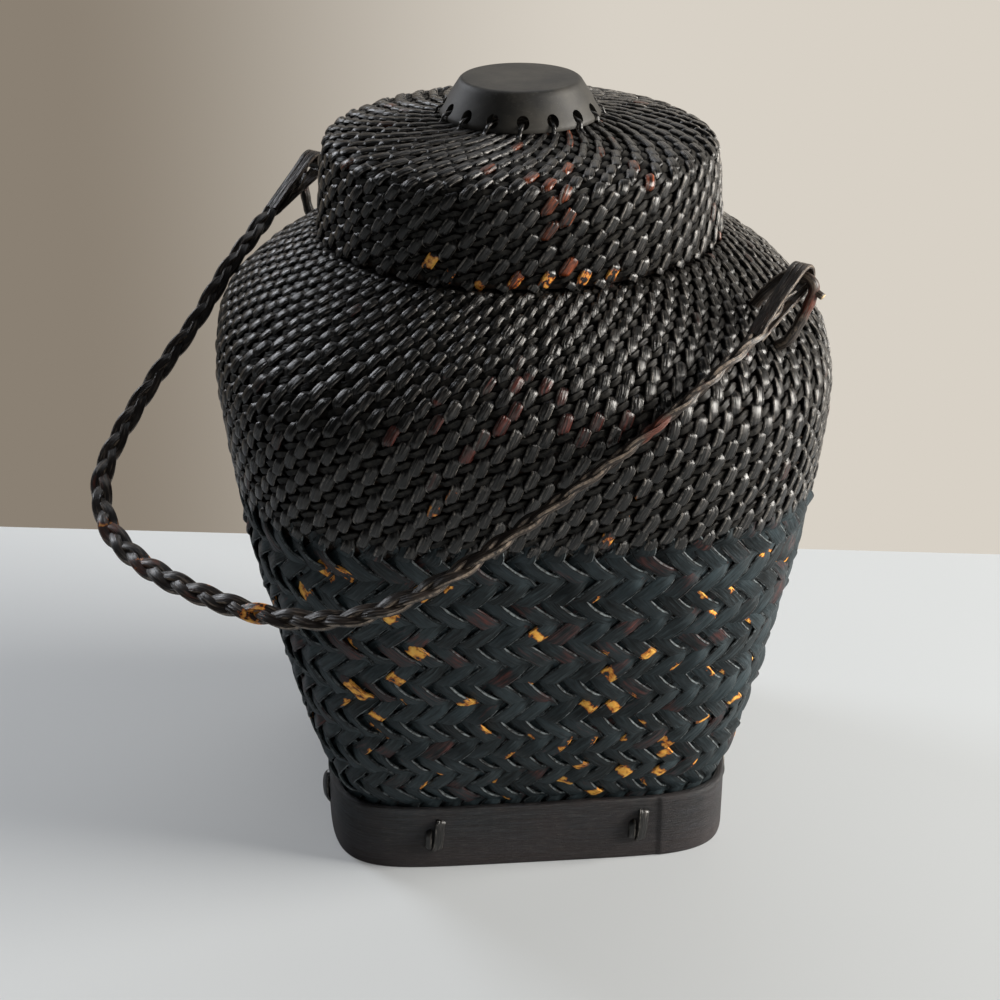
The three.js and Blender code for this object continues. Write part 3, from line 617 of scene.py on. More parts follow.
# Sections of strips, one unit wide and thick to each side: across the strip, and off the surface
FLAT_SECTION = np.array([(1, 0), (0.6, 0.9), (-0.6, 0.9), (-1, 0), (-0.6, -0.9), (0.6, -0.9)])
CROWNED_SECTION = np.array([
    (1, 0.0), (0.93, 0.7), (0.64, 1), (-0.64, 1), (-0.93, 0.7), (-1, 0.0), (-0.88, -0.9), (0.88, -0.9),
])
STAKE_SECTION = np.array([
    (1, -0.3), (0.93, 0.5), (0.7, 0.93), (0.2, 1), (-0.55, 0.95), (-0.95, 0.35), (-0.9, -0.9), (0.9, -0.9),
])
WEAVER_SECTION = np.array([(1, -0.8), (0.98, 0.4), (0.8, 1), (-0.8, 1), (-0.98, 0.4), (-1, -0.8)])
ROUND_SECTION = np.array([(math.cos(a), math.sin(a)) for a in np.linspace(0, TURN, 12, endpoint=False)])
# Corners further out than this share of the half width are a strip's edges
EDGE_SHARE = 0.65
# Strips start at random places of their fibre pattern, this many mm long
PATTERN_LENGTH = 900


def strips(name, line, face, width, thickness, section, material, body, slot, values=None, closed=False,
           **more):
    """Strips, a section carried along lines: point = line + side * a * width / 2 + up * b * thickness / 2.

    line is an array of strips by stations by xyz. face, width and thickness are given for each, or for all.
    """
    count, stations = line.shape[:2]
    face = np.broadcast_to(np.asarray(face, float), line.shape)
    width = np.broadcast_to(width, (count, stations))
    thickness = np.broadcast_to(thickness, (count, stations))
    corners = len(section)
    if closed:
        along = unit(np.roll(line, -1, axis=1) - np.roll(line, 1, axis=1))
    else:
        along = unit(np.gradient(line, axis=1))
    side = unit(np.cross(face, along))
    up = np.cross(along, side)
    across = side[:, :, None] * (section[:, 0] / 2)[None, None, :, None] * width[:, :, None, None]
    above = up[:, :, None] * (section[:, 1] / 2)[None, None, :, None] * thickness[:, :, None, None]
    points = line[:, :, None] + across + above
    index = np.arange(count * stations * corners).reshape(count, stations, corners)
    here = index if closed else index[:, :-1]
    there = np.roll(index, -1, axis=1) if closed else index[:, 1:]
    quads = np.stack([here, np.roll(here, -1, axis=2), np.roll(there, -1, axis=2), there], -1)
    steps = np.linalg.norm(np.diff(line, axis=1, append=line[:, :1]), axis=-1)
    lengths = np.concatenate([np.zeros((count, 1)), np.cumsum(steps, axis=1)], axis=1)
    lengths += rng.random((count, 1)) * PATTERN_LENGTH
    low, high = lengths[:, :-1], lengths[:, 1:]
    if not closed:
        low, high = low[:, :-1], high[:, :-1]
    girth = np.mean(width) * 2.2
    left = np.arange(corners) / corners * girth
    right = left + girth / corners
    sides = (left, right, low[..., None], high[..., None])
    left, right, low, high = (np.broadcast_to(side_place, quads.shape[:3]) for side_place in sides)
    uv = np.stack([left, low, right, low, right, high, left, high], -1) / 10
    ends = None
    if not closed:
        ends = np.concatenate([index[:, 0, ::-1], index[:, -1]])
    spread = {key: np.repeat(np.broadcast_to(value, (count, stations))[..., None], corners, -1)
              for key, value in (values or {}).items()}
    spread["edge"] = np.broadcast_to((np.abs(section[:, 0]) > EDGE_SHARE) & (section[:, 1] >= 0), index.shape)
    if "bias" in spread:
        bias = spread["bias"]
        spread["worn"] = spread["worn"] * np.clip(1 + 2 * bias * section[:, 0] - 1.4 * np.abs(bias), 0, 1)
    crisp = section is CROWNED_SECTION or section is WEAVER_SECTION
    return build(name, points.reshape(-1, 3), quads.reshape(-1, 4), material, body, slot, ends=ends,
                 uv=uv, values=spread, crisp=crisp, **more)


def grid_surface(name, points, material, body, slot, **more):
    """A closed ring of a surface: rows of points, joined round each row and from last row to first."""
    rows, columns = points.shape[:2]
    index = np.arange(rows * columns).reshape(rows, columns)
    above = np.roll(index, -1, axis=0)
    quads = np.stack([index, np.roll(index, -1, axis=1), np.roll(above, -1, axis=1), above], -1)
    around = np.linalg.norm(np.diff(points, axis=1, append=points[:, :1]), axis=-1)
    left = np.concatenate([np.zeros((rows, 1)), np.cumsum(around, axis=1)[:, :-1]], axis=1)
    right = left + around
    across = np.linalg.norm(np.diff(points, axis=0, append=points[:1]), axis=-1)
    low = np.concatenate([np.zeros((1, columns)), np.cumsum(across, axis=0)[:-1]])
    high = low + across
    uv = np.stack([low, left, low, right, high, right, high, left], -1) / 10
    return build(name, points.reshape(-1, 3), quads.reshape(-1, 4), material, body, slot, uv=uv, **more)


def bump(place, middle, reach, power=2):
    """One at the middle and less away from it: exp of minus a power of the distance over the reach."""
    return np.exp(-((place - middle) / reach) ** power)


def another(value, factor):
    """Another random value from 0 to 1 for the same float: what is left over of a multiple of its value."""
    return np.mod(value * factor, 1)


def spots(count, heights, places, length):
    """Strength of marks on strips: a bump at each place, which is a strip number and a height.

    A bump reaches 0.75 to 1.35 of the given length.
    """
    strength = np.zeros((count, len(heights)))
    for strip, height in places:
        reach = length * (0.75 + 0.6 * rng.random())
        mark = bump(heights, height, reach, 4)
        strength[strip % count] = np.maximum(strength[strip % count], mark)
    return strength


# Body: profile from inside the foot band, over the shoulder and the lid's seat, to the top of the neck
def body_profile():
    """Rows of half width, height and squareness along the wall."""
    side = spline(WALL_KNOTS, 600)
    side[:, 2] = np.interp(side[:, 1], WALL_KNOTS[:, 1], WALL_KNOTS[:, 2])
    start = [(WALL_KNOTS[0, 0], WALL_FOOT_Z, WALL_KNOTS[0, 2])]
    neck = [(*NECK_ROOT, 2), (*NECK_TOP, 2)]
    return np.vstack([start, side, neck])


body_wall = Wall(body_profile())
body_wall.lay_rows(BODY_PITCHES, BODY_FIRST_ROW)
seat_start = float(np.interp(WALL_KNOTS[-1, 1] - 0.02, body_wall.profile[:, 1], body_wall.heights))
wall_end = float(body_wall.heights[-1])


def plait_family(name, lean):
    """One direction of the plait, strips leaning left (-1) or right (+1) as they rise.

    A strip's column is its number plus lean times half the row. Its rise is a sine of the row with cut-off
    crests, so it lies over two rows and under two. At the top it turns upright and sinks behind the weave.
    """
    numbers = np.arange(PLAIT_COLUMNS)[:, None]
    first_row = PLAIT_TOP_ROW - (PLAIT_TOP - WALL_FOOT_Z) / PLAIT_ROW
    rows = np.linspace(first_row, PLAIT_TOP_ROW + 0.35, PLAIT_STATIONS)[None]
    heights = PLAIT_TOP + (rows - PLAIT_TOP_ROW) * PLAIT_ROW
    turned = PLAIT_TOP_ROW - PLAIT_BEND * np.logaddexp(0, (PLAIT_TOP_ROW - 0.55 - rows) / PLAIT_BEND)
    wander = PLAIT_WANDER * np.sin(rows * 1.3 + rng.random((PLAIT_COLUMNS, 1)) * TURN)
    turns = (numbers + lean * turned / 2 + PLAIT_SHIFT + wander) / PLAIT_COLUMNS
    phase = TURN * (rows + 0.5) / PLAIT_PERIOD
    wave = np.clip(2.0 * np.sin(phase), -1, 1) * (0.72 + 0.28 * np.abs(np.sin(phase)))
    heights = np.broadcast_to(heights, turns.shape)
    unevenness = PLAIT_UNEVENNESS * rng.standard_normal((PLAIT_COLUMNS, 1))
    rise = -lean * wave * PLAIT_LIFT - PLAIT_DEPTH + unevenness
    ending = np.clip((PLAIT_TOP_ROW + 0.3 - rows) / 0.9, 0, 1)
    rise = rise * ending - 1.5 * (1 - ending)
    pitch = body_wall.girth_at(heights) / PLAIT_COLUMNS
    slope = PLAIT_ROW * 2 / pitch
    width = pitch * slope / np.hypot(1, slope) * (0.88 + 0.06 * rng.random((PLAIT_COLUMNS, 1)))
    width = width * (0.62 + 0.38 * ending)
    line, face = body_wall.at(turns, heights)
    line = line + face * rise[..., None]
    floats = np.broadcast_to(np.floor((rows + 0.5) / PLAIT_PERIOD * 2).astype(int) + 2, turns.shape)
    float_tone = np.take_along_axis(rng.random((PLAIT_COLUMNS, 24)), floats, 1)
    upright = unit(np.cross(face, unit(np.gradient(line, axis=1))))
    tip = (0.7 * another(float_tone, 6.1) - 0.1) * np.abs(np.sin(phase))
    face = unit(face + upright * tip[..., None])

    # Golden and red marks: listed ones on the front, random ones on the other sides, small slivers in front
    pale, red = [], []
    hidden_marks = 95
    slivers = 34
    far = np.column_stack([rng.uniform(10, 60, hidden_marks), rng.uniform(22, 150, hidden_marks)]).tolist()
    near = np.column_stack([rng.uniform(-9, 9, slivers), rng.uniform(24, 148, slivers)]).tolist()
    split = hidden_marks * 2 // 3
    chosen = [(WORN_PALE, pale), (WORN_RED, red), (far[:split], pale), (far[split:], red), (near, pale)]
    for places, found in chosen:
        for column, height in places:
            row = PLAIT_TOP_ROW + (height - PLAIT_TOP) / PLAIT_ROW
            upper = -1 if math.sin(TURN * (row + 0.5) / PLAIT_PERIOD) > 0 else 1
            if upper == lean:
                found.append((int(round(column - lean * row / 2 - PLAIT_SHIFT)), height))
    worn = 0.8 * spots(PLAIT_COLUMNS, heights[0], pale, PALE_LENGTH)
    bias = np.round(another(float_tone, 13.7) * 2.4 - 1.2)
    ruddy = 0.52 * spots(PLAIT_COLUMNS, heights[0], red, RED_LENGTH)
    brown = 0.5 * another(float_tone, 9.7) ** 3
    values = {"worn": worn, "bias": bias, "ruddy": np.maximum(ruddy, brown), "tone": float_tone}
    strips(name, line, face, width, PLAIT_THICKNESS, CROWNED_SECTION, plait_cane, "basket", "dark_cane",
           values)


plait_family("plait_left_leaning", -1)
plait_family("plait_right_leaning", 1)


def float_values(count, row, parity, region, strength):
    """Tone and redness of each stake along its rows: one random draw of both for each float.

    A float is red where its draw is below half the region, and the more so the higher its draw.
    """
    floats = int(row.max() / 2) + 3
    number = np.floor(row[None] / 2 + parity[:, None] / 2 + 0.5).astype(int)
    tone = np.take_along_axis(rng.random((count, floats)), number, axis=1)
    redness = np.take_along_axis(rng.random((count, floats)), number, axis=1)
    chance = np.clip(region, 0.01, 1.8) / 2
    red_float = 0.36 + strength * np.clip(region, 0, 1) * redness / chance
    ruddy = np.where(redness < chance, red_float, 0.12 * redness)
    return tone, ruddy


def stakes(name, wall, turns, level, parity, shares, lean_size, region, redness, worn_places, material, body,
           stretch, sink):
    """Stakes of a fine weave, each over one weaver and under the next.

    Rise off the wall is a cosine of the height with its crests stretched, so a float is longer than its dip.
    Each float leans: its side step is a sine whose crest comes late, where the float goes under.
    """
    count = len(turns)
    row = wall.row_at(level)
    angle = math.pi * (row[None] + parity[:, None])
    crest = np.clip(2.0 * np.cos(angle) + stretch, -1, 1) * (0.88 + 0.12 * np.cos(angle))
    lean = lean_size * (np.sin(angle) - 0.22 * np.sin(2 * angle)) / wall.girth_at(level)[None]
    wander = STAKE_WANDER * np.sin(level[None] / 17 + rng.random((count, 1)) * TURN) / count
    placed = turns + lean + wander
    height = np.broadcast_to(level[None], placed.shape)
    line, face = wall.at(placed, height)
    tone, ruddy = float_values(count, row, parity, region, redness)
    unevenness = STAKE_UNEVENNESS * (another(tone, 7.3) - 0.5)
    rise = crest * STAKE_LIFT - STAKE_DEPTH + unevenness - sink
    line = line + face * rise[..., None]
    tip = 0.5 * (another(tone, 3.7) - 0.4)
    around = unit(np.cross((0, 0, 1.0), face))
    face = unit(face + around * tip[..., None])
    pitch = wall.girth_at(height) / count * 0.98
    share = np.interp(level, shares[:, 0], shares[:, 1])
    width = pitch * share * (0.86 + 0.14 * crest) * (0.94 + 0.12 * another(tone, 5.1))
    ruddy = ruddy * np.clip(0.5 + 1.5 * crest, 0, 1)
    worn = np.zeros_like(tone)
    for strip, at_height, strength in worn_places:
        mark = strength * bump(level, at_height, WORN_REACH, 4)
        worn[strip % count] = np.maximum(worn[strip % count], mark)
    strips(name, line, face, width, STAKE_THICKNESS, STAKE_SECTION, material, body, "dark_cane",
           {"tone": tone, "ruddy": ruddy, "worn": worn})


def weavers(name, wall, numbers, count, start_turn, climb, body):
    """Rings of flat cane under and over the stakes: their rise is a cosine of the turn, against the stakes'.

    Over a stake a weaver also climbs to the right: its height takes a sine of the same turn.
    """
    across = STEPS_PER_STAKE * count
    share = np.arange(across)[None] / across
    rows = np.asarray(numbers, float)[:, None]
    turns = np.repeat(share, len(rows), axis=0)
    pitch = wall.row_height(rows + 0.5) - wall.row_height(rows - 0.5)
    angle = math.pi * ((turns - start_turn) * count + rows)
    over = np.clip(0.15 - 1.3 * np.cos(angle), -1, 1)
    drift = WEAVER_DRIFT * np.sin(TURN * (3 * share + rng.random((len(rows), 1))))
    heights = wall.row_height(rows) - climb * np.sin(angle) + drift
    line, face = wall.at(turns, heights)
    number = np.mod(np.floor(((turns - start_turn) * count + rows + 1) / 2 + 0.25).astype(int), count // 2)
    tone = np.take_along_axis(rng.random((len(rows), count // 2)), number, axis=1)
    rise = WEAVER_LIFT * over - WEAVER_DEPTH + 0.25 * (tone - 0.5)
    line = line + face * rise[..., None]
    around = unit(np.cross((0, 0, 1.0), face))
    up = np.cross(face, around)
    tip = 0.3 * (another(tone, 5.3) - 0.3)
    face = unit(face - up * 0.25 + around * tip[..., None])
    width = WEAVER_SHARE * pitch * (0.93 + 0.14 * another(tone, 3.9)) * (0.9 + 0.1 * over)
    strips(name, line, face, width, WEAVER_THICKNESS, WEAVER_SECTION, weaver_cane, body, "brown_cane",
           {"tone": tone * 0.8}, closed=True)


STAKES = 2 * PLAIT_COLUMNS
stake_level = np.linspace(PLAIT_TOP - 3, wall_end - 0.6, STAKE_STATIONS)
# On the lid's seat and neck the stakes lie deeper, and over the shoulder in front they are redder
stake_sink = 0.9 * np.clip((stake_level - seat_start + 2) / 4, 0, 1)
front_redness = np.clip(1.4 - np.abs((stake_level - 208) / 18), 0, 1)


def stake_set(name, lean, parity_value, worn_places):
    """Stakes that go on from one family of the plait, from its turned ends to the rim."""
    columns = np.arange(PLAIT_COLUMNS) + lean * PLAIT_TOP_ROW / 2 + PLAIT_SHIFT
    turns = (columns / PLAIT_COLUMNS)[:, None] + np.zeros((1, len(stake_level)))
    centred = np.mod(columns / PLAIT_COLUMNS + 0.5, 1) - 0.5
    near_front = bump(centred, -0.012, 0.07, 4)[:, None]
    region = 0.07 + near_front * front_redness[None] * 0.8
    parity = np.full(PLAIT_COLUMNS, float(parity_value))
    lean_size = np.interp(stake_level, [195, 220], [STAKE_LEAN, SHOULDER_LEAN])
    stakes(name, body_wall, turns, stake_level, parity, BODY_STAKE_SHARES, lean_size, region, 0.36,
           worn_places, stake_cane, "basket", 0.95, stake_sink)


# Worn places of each set: stake number, height and strength
stake_set("stakes_first_set", -1, 0, [(18, 178, 0.62), (12, 182, 0.62), (17, 162, 0.62)])
stake_set("stakes_second_set", 1, 1, [(-13, 172, 0.62), (-19, 176, 0.62)])
first_weaver = math.ceil(body_wall.row_at(PLAIT_TOP + 1.5))
middle_weaver = math.ceil(body_wall.row_at(SHOULDER_START))
last_weaver = int(body_wall.row_at(wall_end - 2))
stake_turn = (-PLAIT_TOP_ROW / 2 + PLAIT_SHIFT) / PLAIT_COLUMNS
belly_rows = np.arange(first_weaver, middle_weaver)
shoulder_rows = np.arange(middle_weaver, last_weaver + 1)
weavers("belly_weavers", body_wall, belly_rows, STAKES, stake_turn, 1.0, "basket")
weavers("shoulder_weavers", body_wall, shoulder_rows, STAKES, stake_turn, 1.0, "basket")


def body_core():
    """The wall behind the strips: its outside is the core's depth in, its inside a wall's thickness in."""
    rows = slice(0, len(body_wall.heights), 2)
    points, normals = body_wall.points[rows, :-1:2], body_wall.normals[rows, :-1:2]
    profile = body_wall.profile[rows]
    outer = points - normals * CORE_DEPTH
    keep = profile[:, 1] < NECK_ROOT[1] - WALL_THICKNESS - 8
    inner = (points - normals * WALL_THICKNESS)[keep][::-1]
    inner = inner[inner[:, 0, 2] > FLOOR_TOP_Z + 2]
    angle = np.arctan2(points[0, :, 1], points[0, :, 0])
    neck_inside = NECK_TOP[0] - NECK_THICKNESS
    neck_profile = [(NECK_TOP[0] - CORE_DEPTH, NECK_TOP[1] - 0.3), (neck_inside + 0.2, NECK_TOP[1] - 0.3),
                    (neck_inside + 0.6, NECK_TOP[1] - 6), (neck_inside + 1.6, NECK_ROOT[1] - 4)]
    neck = [polar(radius, angle, z) for radius, z in neck_profile]
    corner = inner[-1] * np.array([1, 1, 0]) + np.array([0, 0, FLOOR_TOP_Z])
    floor = [corner * np.array([share, share, 1]) for share in (1, 0.8, 0.5, 0.2, 0.001)]
    under = points[0] - normals[0] * CORE_DEPTH
    bottom = [under * np.array([share, share, 1]) for share in (0.001, 0.5, 0.9)]
    for ring in bottom:
        ring[:, 2] = WALL_FOOT_Z
    rings = np.stack([*bottom, *outer[:-1], *neck, *inner, *floor])
    grid_surface("body_lining", rings, lining, "basket", "dark_cane", replaces=("body_weave",))


body_core()


# Foot band
def foot_band():
    """Bent strip: a superellipse outline times a rounded upright section, its end lapped over a corner.

    The lap is a thickness that steps up at its cut end and fades out round the corner.
    """
    angle = np.linspace(-math.pi, math.pi, BAND_COLUMNS, endpoint=False)
    degrees = np.degrees(angle)
    fade = np.clip((LAP_END_DEG - degrees) / (LAP_END_DEG - LAP_FADE_DEG), 0, 1)
    step = 0.5 + 0.5 * np.tanh((degrees - LAP_START_DEG) / (2 * LAP_STEP_DEG))
    lap = LAP_THICKNESS * fade * step
    half = BAND_THICKNESS / 2
    turn = np.linspace(0, TURN, 32, endpoint=False)
    depth = half * np.sign(np.cos(turn)) * np.abs(np.cos(turn)) ** 0.4
    height = FOOT_HEIGHT / 2 * np.sign(np.sin(turn)) * np.abs(np.sin(turn)) ** 0.16
    middle = section_radius(FOOT_HALF - half, FOOT_SQUARENESS, angle)
    outward = np.clip(depth / half, 0, 1)
    wave = 0.25 * np.sin(angle * 5 + 1) + 0.18 * np.sin(angle * 13)
    radius = middle[None] + depth[:, None] + outward[:, None] * lap[None]
    z = FOOT_HEIGHT / 2 + height[:, None] + wave[None] * np.clip(height[:, None] / 14, 0, 1)
    grid_surface("bent_foot_band", polar(radius, angle, z), bent_wood, "basket", "bent_strip",
                 replaces=("foot_band",))


foot_band()


# The two canes of a tie: shift to the side, share of the tie's height, drop and slant
TIE_CANES = ((-2.2, 0.6, 1.6, 0.3), (1.9, 1.06, 0, 1.6))
TIE_WIDTHS = np.array([[2.6], [4.1]])


def foot_ties():
    """Each tie: two flat split canes side by side, out through the band, bowed over its face and back in."""
    t = np.linspace(0, 1, TIE_STATIONS)
    reach = (TIE_HEIGHT - TIE_THICKNESS) / 2
    bow = np.sin(math.pi * t) ** 0.45
    inside = BAND_THICKNESS * 0.6
    depth = -FOOT_HALF + inside - (inside + TIE_PROUD) * bow
    z = TIE_MIDDLE_Z + reach * np.sin(math.pi * (t - 0.5))
    for quarter, side in enumerate(("front", "right", "back", "left")):
        cosine, sine = math.cos(quarter * math.pi / 2), math.sin(quarter * math.pi / 2)
        turn = np.array([[cosine, sine, 0], [-sine, cosine, 0], [0, 0, 1]])
        for hand, sign in (("a", -1), ("b", 1)):
            lines = []
            for shift, size, drop, slant in TIE_CANES:
                skew = (slant + 0.4 * rng.standard_normal()) * (t - 0.5)
                across = sign * TIE_OFFSET + shift + skew
                height = TIE_MIDDLE_Z - drop + (z - TIE_MIDDLE_Z) * size
                lines.append(np.stack([across, depth, height], -1) @ turn)
            line = np.stack(lines)
            middle = np.array([sign * TIE_OFFSET, -FOOT_HALF + 3, TIE_MIDDLE_Z]) @ turn
            face = unit(line - middle)
            values = {"tone": np.array([[0.75], [0.45]]), "ruddy": 0.2}
            strips(f"split_cane_tie_{side}_{hand}", line, face, TIE_WIDTHS, TIE_THICKNESS, CROWNED_SECTION,
                   stake_cane, "basket", "split_cane", values, replaces=(f"foot_tie_{side}_{hand}",))


foot_ties()


# Lid
def lid_profile():
    """Rows of radius, height and squareness, from under the knob to the bottom of the skirt."""
    line = spline(LID_KNOTS, 500)
    line = line[line[:, 0] > LID_WEAVE_START]
    return np.column_stack([line, np.full(len(line), 2.0)])[::-1]


lid_wall = Wall(lid_profile())
lid_wall.lay_rows(LID_PITCHES, LID_FIRST_ROW)
lid_end = float(lid_wall.heights[-1])
lid_level = np.linspace(0.4, lid_end - 0.5, LID_STATIONS)
lid_edge = float(np.interp(-LID_EDGE_Z, -lid_wall.profile[:, 1], lid_wall.heights))


# Golden places of the lid in each set of stakes: stake number, height and strength
LID_WORN = ([(-3, 8.8, 0.8)],
            [(-1, 4.4, 0.65), (0, 4.4, 0.72), (1, 4.4, 0.72), (2, 4.4, 0.68), (-3, 4.4, 0.58), (-2, 1, 0.7)])


def lid_stakes():
    """Stakes of the lid, from the skirt's rim over the edge to under the knob, in two alternating sets."""
    for index, name in enumerate(("lid_stakes_first_set", "lid_stakes_second_set")):
        count = LID_STAKES // 2
        columns = (2 * np.arange(count) + index) / LID_STAKES + LID_STAKE_SHIFT
        turns = columns[:, None] + np.zeros((1, len(lid_level)))
        centred = np.mod(columns + 0.5, 1) - 0.5
        front = bump(centred, 0.03, 0.085, 4)[:, None]
        edge = bump(lid_level, lid_edge + 2, 5)[None]
        region = 0.06 + 0.2 * front + 1.8 * front * edge
        parity = np.full(count, float(index))
        worn = LID_WORN[index]
        stakes(name, lid_wall, turns, lid_level, parity, LID_STAKE_SHARES, LID_STAKE_LEAN, region, 0.75, worn,
               lid_cane, "lid", 1.1, 0)


lid_stakes()
lid_rows = np.arange(1, int(lid_wall.row_at(lid_end - 2)) + 1)
weavers("lid_weavers", lid_wall, lid_rows, LID_STAKES, LID_STAKE_SHIFT, 1.1, "lid")


def lid_core():
    """The lid's wall behind the strips, open below, its crown closed over the middle."""
    full = spline(LID_KNOTS, 160)
    tangent = np.gradient(full, axis=0)
    outward = unit(np.stack([-tangent[:, 1], tangent[:, 0]], -1))
    outer = full - outward * CORE_DEPTH
    inner = (full - outward * LID_WALL)[::-1]
    inner[0, 1] = outer[-1, 1] = LID_KNOTS[-1, 1] + 0.2
    profile = np.vstack([outer, inner])[::-1]
    angle = np.linspace(0, TURN, LID_COLUMNS, endpoint=False)
    points = polar(np.maximum(profile[:, :1], 0.01), angle, profile[:, 1:])
    grid_surface("lid_lining", points, lining, "lid", "dark_cane", replaces=("lid_weave",))


lid_core()


# Knob
def knob_side(z):
    """Radius of the knob's flared side at a height."""
    return np.interp(z, [KNOB_BASE_Z + 1.6, KNOB_TOP_Z], [KNOB_BASE_RADIUS, KNOB_TOP_RADIUS])


def lid_knob():
    """Turned knob: a profile spun round the axis, then lacing holes bored through its foot."""
    side = [(knob_side(z), z) for z in np.linspace(KNOB_BASE_Z + 2.0, KNOB_TOP_Z - 0.9, 10)]
    profile = np.array([
        (0.01, KNOB_TOP_Z - 5), (19, KNOB_TOP_Z - 5), (25.4, KNOB_BASE_Z), (30.0, KNOB_BASE_Z - 0.05),
        (30.5, KNOB_BASE_Z + 0.35), (KNOB_BASE_RADIUS, KNOB_BASE_Z + 1.3), *side,
        (KNOB_TOP_RADIUS + 0.1, KNOB_TOP_Z - 0.45), (KNOB_TOP_RADIUS - 0.45, KNOB_TOP_Z - 0.08),
        (KNOB_TOP_RADIUS - 1.3, KNOB_TOP_Z), (12, KNOB_TOP_Z - 0.15), (0.01, KNOB_TOP_Z - 0.25),
    ])
    angle = np.linspace(0, TURN, KNOB_COLUMNS, endpoint=False)
    points = polar(profile[:, :1], angle, profile[:, 1:])
    rows, columns = points.shape[:2]
    index = np.arange(rows * columns).reshape(rows, columns)
    beside = np.roll(index, -1, axis=1)
    quads = np.stack([index[:-1], beside[:-1], beside[1:], index[1:]], -1)
    ends = np.stack([index[0, ::-1], index[-1]])
    knob = build("turned_knob", points.reshape(-1, 3), quads.reshape(-1, 4), turned_wood, "lid",
                 "turned_wood", ends=ends, replaces=("lid_knob",))
    turn = np.linspace(0, TURN, HOLE_SIDES, endpoint=False)
    holes, hole_faces, hole_ends = [], [], []
    for k in range(LACE_COUNT):
        direction = math.radians(LACE_PHASE_DEG) + k / LACE_COUNT * TURN
        out = np.array([math.cos(direction), math.sin(direction), 0])
        side_way = np.array([-math.sin(direction), math.cos(direction), 0])
        centre = np.array([0, 0, KNOB_BASE_Z + HOLE_MIDDLE])
        ring = side_way * HOLE_HALF[0] * np.cos(turn)[:, None]
        ring[:, 2] += HOLE_HALF[1] * np.sin(turn)
        near = len(holes) * HOLE_SIDES + np.arange(HOLE_SIDES)
        far = near + HOLE_SIDES
        holes += [centre + out * 18 + ring, centre + out * 34 + ring]
        hole_faces.append(np.stack([near, np.roll(near, -1), np.roll(far, -1), far], -1))
        hole_ends += [near[::-1], far]
    cutter = build("hole_cutter", np.concatenate(holes), np.concatenate(hole_faces), turned_wood, "lid",
                   "turned_wood", ends=np.stack(hole_ends))
    bore = knob.modifiers.new("lacing_holes", "BOOLEAN")
    bore.operation = "DIFFERENCE"
    bore.solver = "EXACT"
    bore.object = cutter
    bpy.context.view_layer.update()
    depsgraph = bpy.context.evaluated_depsgraph_get()
    bored = bpy.data.meshes.new_from_object(knob.evaluated_get(depsgraph))
    knob.modifiers.clear()
    knob.data = bored
    bpy.data.objects.remove(cutter, do_unlink=True)
    knob.data.set_sharp_from_angle(angle=math.radians(40))


lid_knob()


def knob_lacing():
    """Short canes that come out of the holes, bend over the knob's foot and go down into the weave."""
    base = KNOB_BASE_Z
    route = np.array([(26.5, base + 3.6), (28.6, base + 3.3), (30.5, base + 2.8), (31.4, base + 1.9),
                      (31.7, base + 0.7), (32.5, base - 0.4), (34.0, base - 1.0)])
    flat = route_line(np.column_stack([route, np.zeros(len(route))]), LACE_STATIONS)
    direction = np.radians(LACE_PHASE_DEG) + np.arange(LACE_COUNT) / LACE_COUNT * TURN
    swing = (0.6 * rng.standard_normal((LACE_COUNT, 1)) - 2.0) * np.linspace(0, 1, LACE_STATIONS)[None]
    out = np.stack([np.cos(direction), np.sin(direction), np.zeros(LACE_COUNT)], -1)
    side_way = np.stack([-np.sin(direction), np.cos(direction), np.zeros(LACE_COUNT)], -1)
    line = out[:, None] * flat[None, :, :1] + side_way[:, None] * swing[..., None]
    line[..., 2] += flat[:, 1]
    centre = out[:, None] * 28.0 + np.array([0, 0, base - 2.0])
    names = [f"knob_lace_{k + 1:02d}" for k in range(LACE_COUNT)]
    values = {"tone": rng.random((LACE_COUNT, 1)) * 0.7}
    strips("knob_lacing", line, unit(line - centre), LACE_WIDTH, LACE_THICKNESS, FLAT_SECTION, stake_cane,
           "lid", "brown_cane", values, replaces=names)


knob_lacing()


# Ears
def surface_point(z, angle):
    """Point of the body's outside at a height and direction, and the direction square to it."""
    half = np.interp(z, body_wall.profile[:, 1], body_wall.profile[:, 0])
    squareness = np.interp(z, WALL_KNOTS[:, 1], WALL_KNOTS[:, 2])
    above = np.interp(z + 0.5, body_wall.profile[:, 1], body_wall.profile[:, 0])
    radius = section_radius(half, squareness, angle)
    out = np.array([math.cos(angle), math.sin(angle), 0])
    normal = unit(out * 0.5 + np.array([0, 0, half - above]))
    return out * radius + np.array([0, 0, z]), normal


def pin(degrees):
    """Middle of an ear's level top."""
    angle = math.radians(degrees)
    return np.array([EAR_RADIUS * math.cos(angle), EAR_RADIUS * math.sin(angle), EAR_TOP_Z])


pin_left, pin_right = pin(EAR_LEFT_DEG), pin(EAR_RIGHT_DEG)
swing_axis = unit(pin_right - pin_left)


